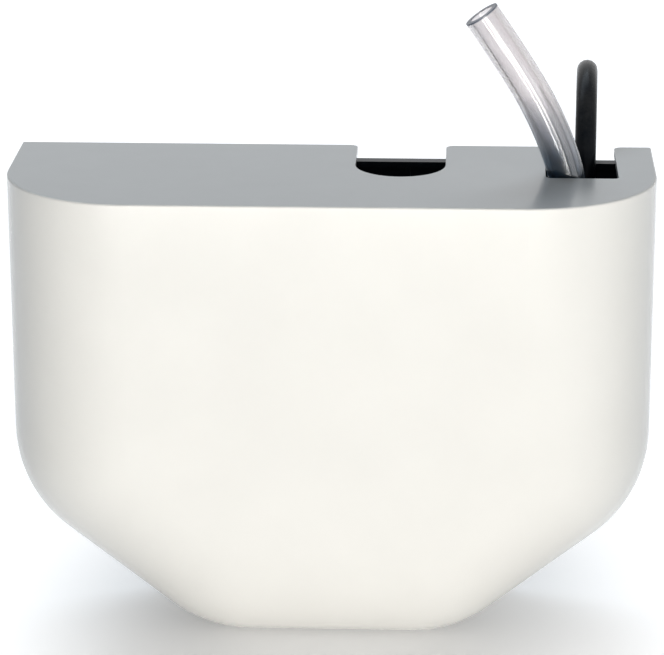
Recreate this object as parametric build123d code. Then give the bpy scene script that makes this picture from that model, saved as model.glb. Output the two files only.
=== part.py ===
from build123d import *
import math
import os

# Condensate pump: a wall or floor standing tank with a vertical motor pump, under a moulded cover.
# Millimetres. +Z is up, the front faces -Y. The origin is the middle of the base, on the floor.

# Cover
WIDTH = 214.0
DEPTH = 77.0
HEIGHT = 160.0
EDGE_RADIUS = 42.5
CORNER_RADIUS = 44.5
CHAMFER_RISE = 50.3
FOOT_WIDTH = 86.0
COVER_WALL = 2.5
COVER_RIB = 1.6
COVER_RIB_DEPTH = 1.5
COVER_RIB_SIDE = 53.0
COVER_TOP_EDGE = 0.7
INLET_NOTCH_RADIUS = 15.0
NOTCH_DEPTH = 40.0
OUTLET_NOTCH_SIDE = 12.6
OUTLET_NOTCH_WIDTH = 23.8
NOTCH_INNER_ROUND = 1.8
NOTCH_REAR_ROUND = 2.8

# Chassis
CHASSIS_INSET = 4.6
CHASSIS_PLATE = 2.5
RIM_WALL = 2.0
RIM_DEPTH = 4.5
CRADLE_WIDTH = 48.0
CRADLE_WALL = 2.5
WALL_SLOT_SPACING = 130.0
WALL_SLOT_HEIGHT = 146.0
WALL_SLOT_WIDTH = 5.0
WALL_SLOT_LENGTH = 9.0
TONGUE_WALL = 2.0
TONGUE_LENGTH = 14.0
TONGUE_LOW = 100.0
TONGUE_HIGH = 116.0
TONGUE_BUMP = 1.2
TONGUE_BUMP_LENGTH = 2.0
TONGUE_BUMP_GAP = 0.4
TONGUE_GAP = 3.0
PLATE_RIB = 1.6
PLATE_RIB_SIDE = 11.0
PLATE_RIB_STEP = 30.0
PLATE_RIBS = 5
PLATE_RIB_LIFT = 20.0
CHASSIS_BOSS_RADIUS = 5.0

# Tank and lid
TANK_INSET = 5.5
TANK_WALL = 2.2
TANK_TOP = 72.0
TANK_REAR_GAP = 0.5
GASKET = 1.5
GASKET_WIDTH = 4.0
LID = 3.0
FIT = 0.1
BOSS_RADIUS = 4.2
BOSS_LENGTH = 16.0
LID_SCREW_RADIUS = 1.75
LID_SCREW_LENGTH = 14.0
SCREW_HEAD_RADIUS = 3.4
SCREW_HEAD = 2.2
LID_SCREW_SIDE = 4.0
LID_SCREW_CORNER = 45.0
LID_SCREW_REAR = 18.5
LID_SCREW_MIDDLE_X = 2.0
EAR_WIDTH = 14.0
EAR_HEIGHT = 14.0
EAR_WALL = 2.5
EAR_SHARE = 0.82243
EAR_SCREW_DROP = 5.0
EAR_RIGHT_X = 2.0

# Inlet
INLET_SHARE = 0.21215
INLET_TUBE_WALL = 2.6
INLET_TUBE_BORE = 14.4
INLET_TUBE_TOP = 112.0
INLET_PIPE_RADIUS = 10.75
INLET_LEDGE = 1.8
BUSH_FLANGE = 3.0
BUSH_STOP = 2.0
BUSH_STOP_LENGTH = 4.0
BUSH_LENGTH = 32.0
STRAINER_WALL = 1.2
STRAINER_DEPTH = 26.0
STRAINER_SLOTS = 10
STRAINER_SLOT = 2.4
STRAINER_RIM = 3.0
STRAINER_HOLES = 6

# Motor
MOTOR_SHARE = 0.28037
MOTOR_REAR = 32.5
SHAFT_RADIUS = 3.0
SHAFT_CLEARANCE = 0.05
AIR_GAP = 0.4
ROTOR_RADIUS = 15.1
STACK = 22.0
STATOR_HALF_WIDTH = 26.0
STATOR_RIGHT = 24.0
STATOR_LEFT = 46.0
WINDOW_LEFT = 34.0
WINDOW_RIGHT = 20.0
WINDOW_HALF_WIDTH = 16.0
COIL_BUILD = 8.0
COIL_GAP = 1.0
COIL_CORNER = 3.0
MOTOR_SCREW_OFFSET = 21.0
MOTOR_SCREW_RADIUS = 2.0
MOTOR_STAND = 15.5
BRACKET_WALL = 3.0
BRACKET_END = 4.6
BRACKET_CORNER = 3.0
BRACKET_WIDTH = 17.0
BEARING_RADIUS = 5.0
BEARING_LENGTH = 9.0
BEARING_HOUSING = 8.0
FAN_RADIUS = 22.0
FAN_HUB_RADIUS = 5.5
FAN_HEIGHT = 10.0
FAN_BLADES = 7
FAN_BLADE_WALL = 1.4
FAN_PITCH = 35.0
FAN_CLEARANCE = 3.0
SLINGER_RADIUS = 9.5
SLINGER_WALL = 2.0
SLINGER_HUB = 2.0
SLINGER_HUB_WALL = 1.8
SLINGER_GAP = 1.0
COLLAR_RADIUS = 8.0
COLLAR_HEIGHT = 4.0

# Pump end
VOLUTE_LOW = 22.0
VOLUTE_HEIGHT = 14.0
VOLUTE_WALL = 2.0
SCROLL_RADIUS = 15.0
SCROLL_GROWTH = 1.2
IMPELLER_RADIUS = 13.5
IMPELLER_HUB = 5.0
IMPELLER_PLATE = 1.5
IMPELLER_VANES = 6
VANE_WALL = 1.3
IMPELLER_CLEARANCE = 1.0
EYE_RADIUS = 7.0
VOLUTE_COVER = 2.5
VOLUTE_LUG_RADIUS = 2.8
VOLUTE_LUG_PITCH = 21.5
VOLUTE_LUG_ANGLES = (10.0, 130.0, 250.0)
VOLUTE_SCREW_RADIUS = 1.25
VOLUTE_SCREW_GRIP = 5.5
VOLUTE_SCREW_HEAD = 1.6
VOLUTE_LUG_HEIGHT = 8.0
SUCTION_SKIRT = 5.0
COLUMN_RADIUS = 9.0
COLUMN_BORE = 6.0
COLUMN_FLANGE_RADIUS = 15.5
COLUMN_FLANGE = 2.5
COLUMN_SCREW_PITCH = 12.2
COLUMN_SCREW_RADIUS = 1.4
COLUMN_SCREW_HEAD = 1.8
COLUMN_WINDOW_WIDTH = 4.0
COLUMN_WINDOW_HEIGHT = 10.0
SOCKET_DEPTH = 6.0
SOCKET_WALL = 2.5
PIPE_RADIUS = 5.5
PIPE_BORE = 4.0
PIPE_SWEEP = 35.0
PIPE_RISE = 19.5
PIPE_BEND = 14.0
NOZZLE_REACH = 34.0
NOZZLE_SOCKET = 10.0

# Check valve and outlet
VALVE_SHARE = 0.757
VALVE_REAR = 35.5
VALVE_RADIUS = 11.0
VALVE_FLANGE_RADIUS = 14.0
VALVE_FLANGE = 3.0
VALVE_HEIGHT = 24.5
VALVE_SPIGOT_RADIUS = 7.4
VALVE_SPIGOT = 7.5
VALVE_CHAMBER_RADIUS = 8.0
VALVE_THROAT_RADIUS = 4.5
VALVE_FLOOR = 7.5
POPPET_RADIUS = 6.4
POPPET_WALL = 3.0
POPPET_WING = 9.0
POPPET_WING_WALL = 1.6
POPPET_EDGE = 0.6
POPPET_STUB_RADIUS = 2.4
POPPET_STUB = 5.0
POPPET_GAP = 0.1
SEAL_WALL = 1.2
BARB_FLANGE = 3.8
BARB_SPIGOT = 2.5
BARB_LENGTH = 18.0
BARB_ROOT = 3.9
BARB_CREST = 4.6
BARB_BORE = 3.0
BARB_RIDGES = 3
SPRING_RADIUS = 3.9
SPRING_WIRE = 0.4
SPRING_TURNS = 4
HOSE_RADIUS = 6.0
HOSE_BORE = 4.1
CLIP_WALL = 0.8
CLIP_WIDTH = 6.0
CLIP_EAR = 5.0
CLIP_EAR_WALL = 1.0
CLIP_EAR_SIDE = 1.6
CLIP_LIFT = 4.0

# Level switches
STEM_RADIUS = 3.0
STEM_FLANGE_RADIUS = 6.5
STEM_FLANGE = 2.0
STEM_NUT_RADIUS = 6.0
STEM_NUT = 4.0
STEM_TOP = 6.0
FLOAT_CLEARANCE = 0.1
STOP_CLIP_RADIUS = 5.5
STOP_CLIP = 1.5
STEM_TAIL = 6.0
FLOAT_GAP = 0.3
MAIN_STEM_SHARE = 0.41121
MAIN_STEM_FRONT = 32.5
MAIN_FLOAT_RADIUS = 12.0
MAIN_FLOAT_HEIGHT = 20.0
MAIN_FLOAT_REST = 22.8
ALARM_STEM_SHARE = 0.6729
ALARM_STEM_REAR = 32.5
ALARM_FLOAT_RADIUS = 10.0
ALARM_FLOAT_HEIGHT = 12.0
ALARM_FLOAT_REST = 47.8

# Control box
CASE_SIDE = 9.0
CASE_SHARE = 0.41121
CASE_TOWER_SHARE = 0.55556
CASE_LOW = 80.0
CASE_SHOULDER = 104.0
CASE_TOP = 135.0
CASE_DEPTH = 20.5
CASE_WALL = 1.8
CASE_LID = 2.0
BOARD_INSET = 3.2
BOARD_WALL = 1.6
BOARD_STANDOFF = 3.6
BOARD_POST_SIDE = 7.0
BOARD_POST_END = 10.0
STANDOFF_RADIUS = 2.2
CASE_SCREW_RADIUS = 1.25
CASE_BOSS_RADIUS = 2.8
CASE_BOSS_INSET = 3.4
CASE_SCREW_LENGTH = 8.0
CASE_SCREW_HEAD = 1.5
CASE_HOLE_SHIFT = 3.0
RELAY = (15.0, 11.0, 19.0)
RELAY_DROP = 15.0
TERMINAL = (26.0, 9.0, 10.0)
TERMINAL_PIN_RADIUS = 1.6
TERMINAL_FLOOR = 4.0
TERMINAL_SIDE = 14.0
TERMINALS = 5

# Power cord
CORD_RADIUS = 3.6
CORD_SHIFT = 1.7
CORD_REAR = 13.5
RELIEF_FLANGE_RADIUS = 8.0
RELIEF_FLANGE = 2.5
RELIEF_ROOT = 6.4
RELIEF_TIP = 4.5
RELIEF_LENGTH = 22.0
COIL_X = 16.0
COIL_Y = 98.0
COIL_RADIUS = 43.0
TIE_WALL = 1.2
TIE_WIDTH = 5.0
TIE_ANGLE = 150.0
PLUG_Y = 143.5
PLUG_END_X = -42.0
PLUG_RADIUS = 18.5
PLUG_BOOT = 16.0
PLUG_BOOT_RADIUS = 8.0
PLUG_NECK = 10.0
PLUG_LENGTH = 32.0
PLUG_FLAT = 15.0
PIN_RADIUS = 2.4
PIN_LENGTH = 19.0
PIN_PITCH = 19.0
PIN_ROUND = 1.2

CUT = 1.0

# Places that follow from the sizes above
FRONT = -DEPTH / 2
BACK = DEPTH / 2
LEFT = -WIDTH / 2
RIGHT = WIDTH / 2
OUTLET_NOTCH_LEFT = RIGHT - OUTLET_NOTCH_SIDE - OUTLET_NOTCH_WIDTH
MOTOR_Y = BACK - MOTOR_REAR
INLET_X = round(RIGHT * INLET_SHARE, 2)
MOTOR_X = -round(RIGHT * MOTOR_SHARE, 2)
VALVE_X = round(RIGHT * VALVE_SHARE, 2)
MAIN_STEM_X = round(RIGHT * MAIN_STEM_SHARE, 2)
VALVE_Y = BACK - VALVE_REAR
MAIN_STEM_Y = FRONT + MAIN_STEM_FRONT
ALARM_STEM_X = -round(RIGHT * ALARM_STEM_SHARE, 2)
ALARM_STEM_Y = BACK - ALARM_STEM_REAR
CASE_RIGHT = RIGHT - CASE_SIDE
CASE_LEFT = round(RIGHT * CASE_SHARE, 2)
CASE_SHOULDER_X = round(CASE_LEFT + (CASE_RIGHT - CASE_LEFT) * CASE_TOWER_SHARE, 2)
CORD_X = (CASE_SHOULDER_X + CASE_RIGHT) / 2 - CORD_SHIFT
CORD_Y = BACK - CORD_REAR
EAR_LEFT_X = -round(RIGHT * EAR_SHARE, 2)
PLATE_FRONT = BACK - CHASSIS_PLATE
RIM_FRONT = BACK - RIM_DEPTH
TANK_REAR = RIM_FRONT - TANK_REAR_GAP
LID_LOW = TANK_TOP + GASKET
LID_TOP = LID_LOW + LID
NOTCH_FRONT = BACK - NOTCH_DEPTH
INLET_Y = NOTCH_FRONT + INLET_NOTCH_RADIUS
STACK_LOW = LID_TOP + MOTOR_STAND + BRACKET_WALL
STACK_TOP = STACK_LOW + STACK
FAN_LOW = STACK_TOP + BEARING_LENGTH + FAN_CLEARANCE
SHAFT_TOP = FAN_LOW + FAN_HEIGHT + 2.0
VOLUTE_TOP = VOLUTE_LOW + VOLUTE_HEIGHT
IMPELLER_LOW = VOLUTE_LOW + IMPELLER_CLEARANCE
IMPELLER_TOP = VOLUTE_TOP - VOLUTE_WALL - IMPELLER_CLEARANCE
SCROLL_END = SCROLL_RADIUS + 3 * SCROLL_GROWTH
NOZZLE_Y = MOTOR_Y + SCROLL_END - PIPE_BORE
NOZZLE_Z = VOLUTE_LOW + VOLUTE_HEIGHT / 2
NOZZLE_RADIUS = VOLUTE_HEIGHT / 2
VALVE_TOP = LID_TOP + VALVE_HEIGHT
VALVE_SEAT = LID_TOP + VALVE_FLOOR
BARB_LOW = VALVE_TOP + SEAL_WALL
HOSE_LOW = BARB_LOW + BARB_FLANGE
POPPET_LOW = VALVE_SEAT + POPPET_GAP
POPPET_TOP = POPPET_LOW + POPPET_WALL
SPRING_TOP = BARB_LOW - BARB_SPIGOT - SEAL_WALL
CASE_FRONT = PLATE_FRONT - CASE_DEPTH
CORD_START = CASE_SHOULDER + RELIEF_LENGTH
COIL_HALF = 2 * CORD_RADIUS
COIL_HEIGHT = 4 * CORD_RADIUS
COIL_TURN = COIL_RADIUS + CORD_RADIUS
COIL_REAR = COIL_Y + COIL_TURN

# Free runs of the hose and the cord, as chosen points
HOSE_ROUTE = [
    (VALVE_X, VALVE_Y, HOSE_LOW),
    (VALVE_X, VALVE_Y, 125.0),
    (80.6, 6.2, 143.0),
    (77.2, 8.0, 161.5),
    (69.8, 8.3, 179.5),
    (59.8, 8.0, 196.5),
    (48.8, 8.0, 212.4),
]
CORD_ROUTE = [
    (CORD_X, CORD_Y, CORD_START),
    (CORD_X, CORD_Y, 156.0),
    (85.2, 48.3, 179.3),
    (86.5, 81.3, 179.3),
    (87.4, 104.6, 156.0),
    (88.2, 106.5, 119.0),
    (87.6, 105.5, 83.0),
    (86.5, 109.0, 51.0),
    (80.0, 121.0, 22.5),
    (62.0, 136.0, 6.4),
    (38.0, COIL_REAR - 0.4, 3.8),
    (COIL_X, COIL_REAR, CORD_RADIUS),
]
TAIL_ROUTE = [
    (COIL_X, COIL_REAR, 3 * CORD_RADIUS),
    (-10.0, 145.8, 12.2),
    (-26.0, PLUG_Y, PLUG_RADIUS),
    (PLUG_END_X, PLUG_Y, PLUG_RADIUS),
]


def post(x, y, low, high, radius):
    """Upright round bar."""
    return Pos(x, y, (low + high) / 2) * Cylinder(radius, high - low)


def tube(x, y, low, high, outer, inner):
    """Upright round tube."""
    return post(x, y, low, high, outer) - post(x, y, low - CUT, high + CUT, inner)


def block(x0, x1, y0, y1, z0, z1):
    """Box between two corners."""
    return Pos((x0 + x1) / 2, (y0 + y1) / 2, (z0 + z1) / 2) * Box(x1 - x0, y1 - y0, z1 - z0)


def slab(low, high):
    """Everything between two heights."""
    return block(-WIDTH, WIDTH, -DEPTH, DEPTH, low, high)


def rod_y(x, z, y0, y1, radius):
    """Round bar along Y."""
    return Pos(x, (y0 + y1) / 2, z) * Rot(90, 0, 0) * Cylinder(radius, y1 - y0)


def pump_outline(inset):
    """The pump seen from the front, moved inward: flat top, chamfered and rounded lower corners."""
    half = WIDTH / 2
    foot = FOOT_WIDTH / 2
    left = [(-half, HEIGHT), (-half, CHAMFER_RISE), (-foot, 0)]
    right = [(foot, 0), (half, CHAMFER_RISE), (half, HEIGHT)]
    sketch = Polygon(*left, *right, align=None)
    sketch = fillet(sketch.vertices().sort_by(Axis.Y)[:4], CORNER_RADIUS)
    if inset > 0:
        sketch = offset(sketch, amount=-inset)
    return sketch


def upright(sketch, front, rear):
    """A front view drawing as a solid between two depths."""
    return extrude(Plane.XZ.offset(-rear) * sketch, amount=rear - front)


def pump_form(inset, rear):
    """The pump's outer shape moved inward, with its large round front edge."""
    solid = upright(pump_outline(inset), FRONT + inset, rear)
    edges = solid.faces().sort_by(Axis.Y)[0].edges()
    edges = edges.filter_by(lambda edge: edge.center().Z < HEIGHT - inset - CUT)
    return fillet(edges, EDGE_RADIUS - inset)


def route(points):
    """Straight runs joined by tangent arcs, each as large as its two runs allow."""
    radii = []
    for before, corner, after in zip(points, points[1:], points[2:]):
        first = Vector(corner) - Vector(before)
        second = Vector(after) - Vector(corner)
        turn = math.radians(first.get_angle(second))
        radii.append(0.45 * min(first.length, second.length) / math.tan(turn / 2))
    print("arc radii", [round(radius, 1) for radius in radii])
    return FilletPolyline(*points, radius=radii)


def swept_tube(points, outer, inner=0.0):
    """Round tube or rod along a route."""
    path = route(points)
    section = Circle(outer)
    if inner > 0:
        section -= Circle(inner)
    solid = sweep(path.location_at(0) * section, path=path)
    area = math.pi * (outer**2 - inner**2)
    print("tube length", round(path.length, 1), "volume ratio", round(solid.volume / (area * path.length), 4))
    return solid


def screw(x, y, seat, length, radius):
    """Pan head screw, its head standing on the seat."""
    return post(x, y, seat - length, seat, radius) + post(x, y, seat, seat + SCREW_HEAD, SCREW_HEAD_RADIUS)


def lid_screw_points():
    """Places of the lid screws, each a boss radius inside the tank's wall."""
    side = RIGHT - TANK_INSET - TANK_WALL - LID_SCREW_SIDE
    corner = RIGHT - LID_SCREW_CORNER
    front = FRONT + TANK_INSET + TANK_WALL + LID_SCREW_SIDE
    rear = TANK_REAR - TANK_WALL - LID_SCREW_SIDE
    return [
        (-side, BACK - LID_SCREW_REAR),
        (side, BACK - LID_SCREW_REAR),
        (-corner, front),
        (corner, front),
        (LID_SCREW_MIDDLE_X, front),
        (LID_SCREW_MIDDLE_X, rear),
    ]


def motor_screw_points():
    """Places of the two screws that clamp the motor to the lid's posts."""
    return [(MOTOR_X, MOTOR_Y - MOTOR_SCREW_OFFSET), (MOTOR_X, MOTOR_Y + MOTOR_SCREW_OFFSET)]


def around_shaft(pitch, angles):
    """Points on a circle round the motor shaft."""
    turned = [math.radians(angle) for angle in angles]
    return [(MOTOR_X + pitch * math.cos(a), MOTOR_Y + pitch * math.sin(a)) for a in turned]


def column_screw_points():
    """Places of the screws that hold the pump column under the lid."""
    return around_shaft(COLUMN_SCREW_PITCH, (0.0, 120.0, 240.0))


def volute_screw_points():
    """Places of the screws in the volute's lugs."""
    return around_shaft(VOLUTE_LUG_PITCH, VOLUTE_LUG_ANGLES)


def chassis_screw_places():
    """Screws along Y into the chassis plate: the lid's two ears and the control box."""
    ear_z = LID_TOP + EAR_HEIGHT - EAR_SCREW_DROP
    ears = [(x, ear_z, TANK_REAR - EAR_WALL) for x in (EAR_LEFT_X, EAR_RIGHT_X)]
    inside = PLATE_FRONT - CASE_WALL
    tower = (CASE_LEFT + CASE_SHOULDER_X) / 2
    shoulder = (CASE_SHOULDER_X + CASE_RIGHT) / 2 - CASE_HOLE_SHIFT
    low = (CASE_LOW + CASE_SHOULDER) / 2
    return ears + [(tower, (CASE_SHOULDER + CASE_TOP) / 2, inside), (shoulder, low, inside)]


# ---- Cover and chassis ----
def make_front_cover():
    """White housing, open at the back and below, with the notches round the inlet and the outlet."""
    top = HEIGHT + CUT
    below = HEIGHT - COVER_WALL - CUT
    cover = pump_form(0, BACK)
    roof = cover.faces().sort_by(Axis.Z)[-1]
    brim = roof.edges().filter_by(lambda edge: edge.center().Y < BACK - 0.01)
    cover = fillet(brim, COVER_TOP_EDGE) - pump_form(COVER_WALL, BACK + CUT)
    inlet = post(INLET_X, INLET_Y, below, top, INLET_NOTCH_RADIUS)
    inlet_sides = (INLET_X - INLET_NOTCH_RADIUS, INLET_X + INLET_NOTCH_RADIUS)
    inlet += block(*inlet_sides, INLET_Y, BACK + CUT, below, top)
    right = OUTLET_NOTCH_LEFT + OUTLET_NOTCH_WIDTH
    outlet = block(OUTLET_NOTCH_LEFT, right, NOTCH_FRONT, BACK + CUT, below, top)
    front_edges = outlet.edges().filter_by(Axis.Z).sort_by(Axis.Y)[:2]
    outlet = fillet(front_edges, NOTCH_INNER_ROUND)
    cover = cover - inlet - outlet
    rounded = cover.edges().filter_by(Axis.Z).filter_by(
        lambda edge: edge.length < COVER_WALL + 0.1 and abs(edge.center().Y - BACK) < 0.01
    )
    cover = fillet(rounded, NOTCH_REAR_ROUND)
    inner_top = HEIGHT - COVER_WALL
    for x in (LEFT + COVER_RIB_SIDE / 2, LEFT + 1.5 * COVER_RIB_SIDE, RIGHT - COVER_RIB_SIDE):
        rib = block(x, x + COVER_RIB, FRONT + 12.0, BACK - 1.5, inner_top - COVER_RIB_DEPTH, HEIGHT)
        cover += rib & pump_form(COVER_WALL / 2, BACK)
    for side in (-1, 1):
        wall = side * (WIDTH / 2 - COVER_WALL)
        edges = sorted((wall + side * 0.5, wall - side * TONGUE_BUMP))
        ridge_front = BACK - TONGUE_LENGTH + TONGUE_BUMP_GAP
        cover += block(*edges, ridge_front, ridge_front + TONGUE_BUMP_LENGTH, TONGUE_LOW, TONGUE_HIGH)
        rib = side * COVER_RIB_SIDE / 2
        cover += block(
            rib - COVER_RIB / 2, rib + COVER_RIB / 2,
            FRONT + COVER_WALL - 0.5, FRONT + COVER_WALL + 2.5, LID_TOP + 6.0, inner_top + 0.5,
        )
    return cover


def make_rear_chassis():
    """Back plate with its rim, the cradle under the tank, the latch tongues and the wall slots."""
    outer = pump_outline(CHASSIS_INSET)
    chassis = upright(outer, PLATE_FRONT, BACK)
    rim = upright(outer, RIM_FRONT, BACK)
    rim -= upright(pump_outline(CHASSIS_INSET + RIM_WALL), RIM_FRONT - CUT, BACK + CUT)
    chassis += rim
    cradle_top = TANK_INSET
    chassis += block(
        -CRADLE_WIDTH / 2, CRADLE_WIDTH / 2,
        FRONT + EDGE_RADIUS + 3.0, BACK, cradle_top - CRADLE_WALL, cradle_top,
    )
    rib_low = LID_TOP + PLATE_RIB_LIFT
    rib_top = HEIGHT - CHASSIS_INSET - RIM_WALL
    for x in [LEFT + PLATE_RIB_SIDE + PLATE_RIB_STEP * index for index in range(PLATE_RIBS)]:
        chassis += block(x, x + PLATE_RIB, RIM_FRONT + 1.0, PLATE_FRONT + 0.5, rib_low, rib_top + 0.5)
    for side in (-1, 1):
        near = side * (WIDTH / 2 - COVER_WALL - TONGUE_GAP)
        walls = sorted((near, near - side * TONGUE_WALL))
        tip = BACK - TONGUE_LENGTH - TONGUE_BUMP_LENGTH - TONGUE_BUMP_GAP
        chassis += block(*walls, tip, PLATE_FRONT + 0.5, TONGUE_LOW, TONGUE_HIGH)
        bump = sorted((near - side * 0.5, near + side * TONGUE_BUMP))
        chassis += block(*bump, tip, tip + TONGUE_BUMP_LENGTH, TONGUE_LOW, TONGUE_HIGH)
        place = Pos(side * WALL_SLOT_SPACING / 2, WALL_SLOT_HEIGHT)
        slot = place * SlotOverall(WALL_SLOT_LENGTH, WALL_SLOT_WIDTH)
        chassis -= upright(slot, PLATE_FRONT - CUT, BACK + CUT)
    for x, z, seat in chassis_screw_places()[:2]:
        chassis += rod_y(x, z, TANK_REAR, PLATE_FRONT + 0.5, CHASSIS_BOSS_RADIUS)
    for x, z, seat in chassis_screw_places():
        chassis -= rod_y(x, z, TANK_REAR - CUT, BACK + CUT, LID_SCREW_RADIUS)
    return chassis


# ---- Tank and lid ----
def make_tank():
    """Open tank with a boss for each screw of the lid."""
    outer = pump_form(TANK_INSET, TANK_REAR)
    inner = pump_form(TANK_INSET + TANK_WALL, TANK_REAR - TANK_WALL)
    bosses = [post(x, y, TANK_TOP - BOSS_LENGTH, TANK_TOP, BOSS_RADIUS) for x, y in lid_screw_points()]
    tank = (outer & slab(0, TANK_TOP)) - inner
    for boss in bosses:
        tank += boss & outer
    hole_low = LID_TOP - LID_SCREW_LENGTH
    for x, y in lid_screw_points():
        tank -= post(x, y, hole_low, TANK_TOP + CUT, LID_SCREW_RADIUS)
    return tank


def make_lid_gasket():
    """Flat seal between the tank and its lid."""
    layer = slab(TANK_TOP, LID_LOW)
    gasket = pump_form(TANK_INSET, TANK_REAR) & layer
    gasket -= pump_form(TANK_INSET + GASKET_WIDTH, TANK_REAR - GASKET_WIDTH)
    for x, y in lid_screw_points():
        gasket += post(x, y, TANK_TOP, LID_LOW, BOSS_RADIUS) & pump_form(TANK_INSET, TANK_REAR)
    for x, y in lid_screw_points():
        gasket -= post(x, y, TANK_TOP - CUT, LID_LOW + CUT, LID_SCREW_RADIUS)
    return gasket


def make_tank_lid():
    """Lid with the inlet tube, the shaft collar, the motor's pillars and two ears for the back plate."""
    lid = pump_form(TANK_INSET, TANK_REAR) & slab(LID_LOW, LID_TOP)
    lid += post(INLET_X, INLET_Y, LID_LOW, INLET_TUBE_TOP, INLET_TUBE_BORE + INLET_TUBE_WALL)
    lid += post(MOTOR_X, MOTOR_Y, LID_LOW, LID_TOP + COLLAR_HEIGHT, COLLAR_RADIUS)
    for x, y in motor_screw_points():
        lid += post(x, y, LID_LOW, LID_TOP + MOTOR_STAND, 2.4 * MOTOR_SCREW_RADIUS)
    for x in (EAR_LEFT_X, EAR_RIGHT_X):
        sides = (x - EAR_WIDTH / 2, x + EAR_WIDTH / 2)
        lid += block(*sides, TANK_REAR - EAR_WALL, TANK_REAR, LID_LOW, LID_TOP + EAR_HEIGHT)
    lid -= post(INLET_X, INLET_Y, LID_TOP, INLET_TUBE_TOP + CUT, INLET_TUBE_BORE)
    lid -= post(INLET_X, INLET_Y, LID_LOW - CUT, LID_TOP + CUT, INLET_TUBE_BORE - INLET_LEDGE)
    lid -= post(MOTOR_X, MOTOR_Y, LID_LOW - CUT, LID_TOP + COLLAR_HEIGHT + CUT, SHAFT_RADIUS + 0.6)
    lid -= post(VALVE_X, VALVE_Y, LID_LOW - CUT, LID_TOP + CUT, VALVE_SPIGOT_RADIUS + FIT)
    for x, y in motor_screw_points():
        lid -= post(x, y, LID_TOP + 2.0, LID_TOP + MOTOR_STAND + CUT, MOTOR_SCREW_RADIUS)
    for x, y in lid_screw_points():
        lid -= post(x, y, LID_LOW - CUT, LID_TOP + CUT, LID_SCREW_RADIUS + FIT)
    for x, y in column_screw_points():
        lid -= post(x, y, LID_LOW - CUT, LID_TOP + CUT, COLUMN_SCREW_RADIUS + FIT)
    for x, y in ((MAIN_STEM_X, MAIN_STEM_Y), (ALARM_STEM_X, ALARM_STEM_Y)):
        lid -= post(x, y, LID_LOW - CUT, LID_TOP + CUT, STEM_RADIUS + FIT)
    for x, z, seat in chassis_screw_places()[:2]:
        lid -= rod_y(x, z, TANK_REAR - EAR_WALL - CUT, TANK_REAR + CUT, LID_SCREW_RADIUS + FIT)
    return lid


def make_lid_screws():
    """Screws that hold the lid on the tank."""
    return Compound([screw(x, y, LID_TOP, LID_SCREW_LENGTH, LID_SCREW_RADIUS) for x, y in lid_screw_points()])


def make_chassis_screws():
    """Screws into the back plate, from the lid's ears and from inside the control box."""
    screws = []
    for x, z, seat in chassis_screw_places():
        shank = rod_y(x, z, seat, BACK - 0.5, LID_SCREW_RADIUS)
        screws.append(shank + rod_y(x, z, seat - SCREW_HEAD, seat, SCREW_HEAD_RADIUS))
    return Compound(screws)


# ---- Inlet ----
def make_inlet_bush():
    """Rubber bush in the mouth of the inlet tube."""
    top = INLET_TUBE_TOP + BUSH_FLANGE
    low = INLET_TUBE_TOP - BUSH_LENGTH
    outer = INLET_TUBE_BORE + INLET_TUBE_WALL + 1.0
    bush = post(INLET_X, INLET_Y, low, INLET_TUBE_TOP, INLET_TUBE_BORE)
    bush += post(INLET_X, INLET_Y, INLET_TUBE_TOP, top, outer)
    bush = chamfer(bush.faces().sort_by(Axis.Z)[-1].edges(), 1.0)
    bush -= post(INLET_X, INLET_Y, low + BUSH_STOP_LENGTH, top + CUT, INLET_PIPE_RADIUS)
    bush -= post(INLET_X, INLET_Y, low - CUT, top, INLET_PIPE_RADIUS - BUSH_STOP)
    return bush


def make_inlet_strainer():
    """Slotted basket that hangs in the inlet."""
    outer = INLET_TUBE_BORE - INLET_LEDGE - 2 * FIT
    inner = outer - STRAINER_WALL
    low = LID_TOP - STRAINER_DEPTH
    strainer = post(INLET_X, INLET_Y, low, LID_TOP, outer)
    strainer += post(INLET_X, INLET_Y, LID_TOP, LID_TOP + STRAINER_WALL, INLET_TUBE_BORE - FIT)
    strainer -= post(INLET_X, INLET_Y, low + STRAINER_WALL, LID_TOP + STRAINER_WALL + CUT, inner)
    slot_low = low + STRAINER_RIM
    slot_high = LID_LOW - STRAINER_RIM
    for index in range(STRAINER_SLOTS // 2):
        angle = index * 360.0 / STRAINER_SLOTS
        slot = Box(2 * outer + 2, STRAINER_SLOT, slot_high - slot_low)
        strainer -= Pos(INLET_X, INLET_Y, (slot_low + slot_high) / 2) * Rot(0, 0, angle) * slot
    for index in range(STRAINER_HOLES):
        angle = math.radians(index * 360.0 / STRAINER_HOLES)
        x = INLET_X + 0.55 * inner * math.cos(angle)
        y = INLET_Y + 0.55 * inner * math.sin(angle)
        strainer -= post(x, y, low - CUT, low + STRAINER_WALL + CUT, STRAINER_SLOT / 2)
    return strainer


# ---- Motor ----
def make_stator_core():
    """Lamination stack with the rotor's bore and the window for the coil."""
    core = block(
        MOTOR_X - STATOR_LEFT, MOTOR_X + STATOR_RIGHT,
        MOTOR_Y - STATOR_HALF_WIDTH, MOTOR_Y + STATOR_HALF_WIDTH, STACK_LOW, STACK_TOP,
    )
    core -= block(
        MOTOR_X - WINDOW_LEFT, MOTOR_X - WINDOW_RIGHT,
        MOTOR_Y - WINDOW_HALF_WIDTH, MOTOR_Y + WINDOW_HALF_WIDTH, STACK_LOW - CUT, STACK_TOP + CUT,
    )
    core = chamfer(core.edges().filter_by(Axis.Z).group_by(Axis.X)[-1], 4.0)
    core -= post(MOTOR_X, MOTOR_Y, STACK_LOW - CUT, STACK_TOP + CUT, ROTOR_RADIUS + AIR_GAP)
    for x, y in motor_screw_points():
        core -= post(x, y, STACK_LOW - CUT, STACK_TOP + CUT, MOTOR_SCREW_RADIUS + FIT)
    return core


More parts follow.
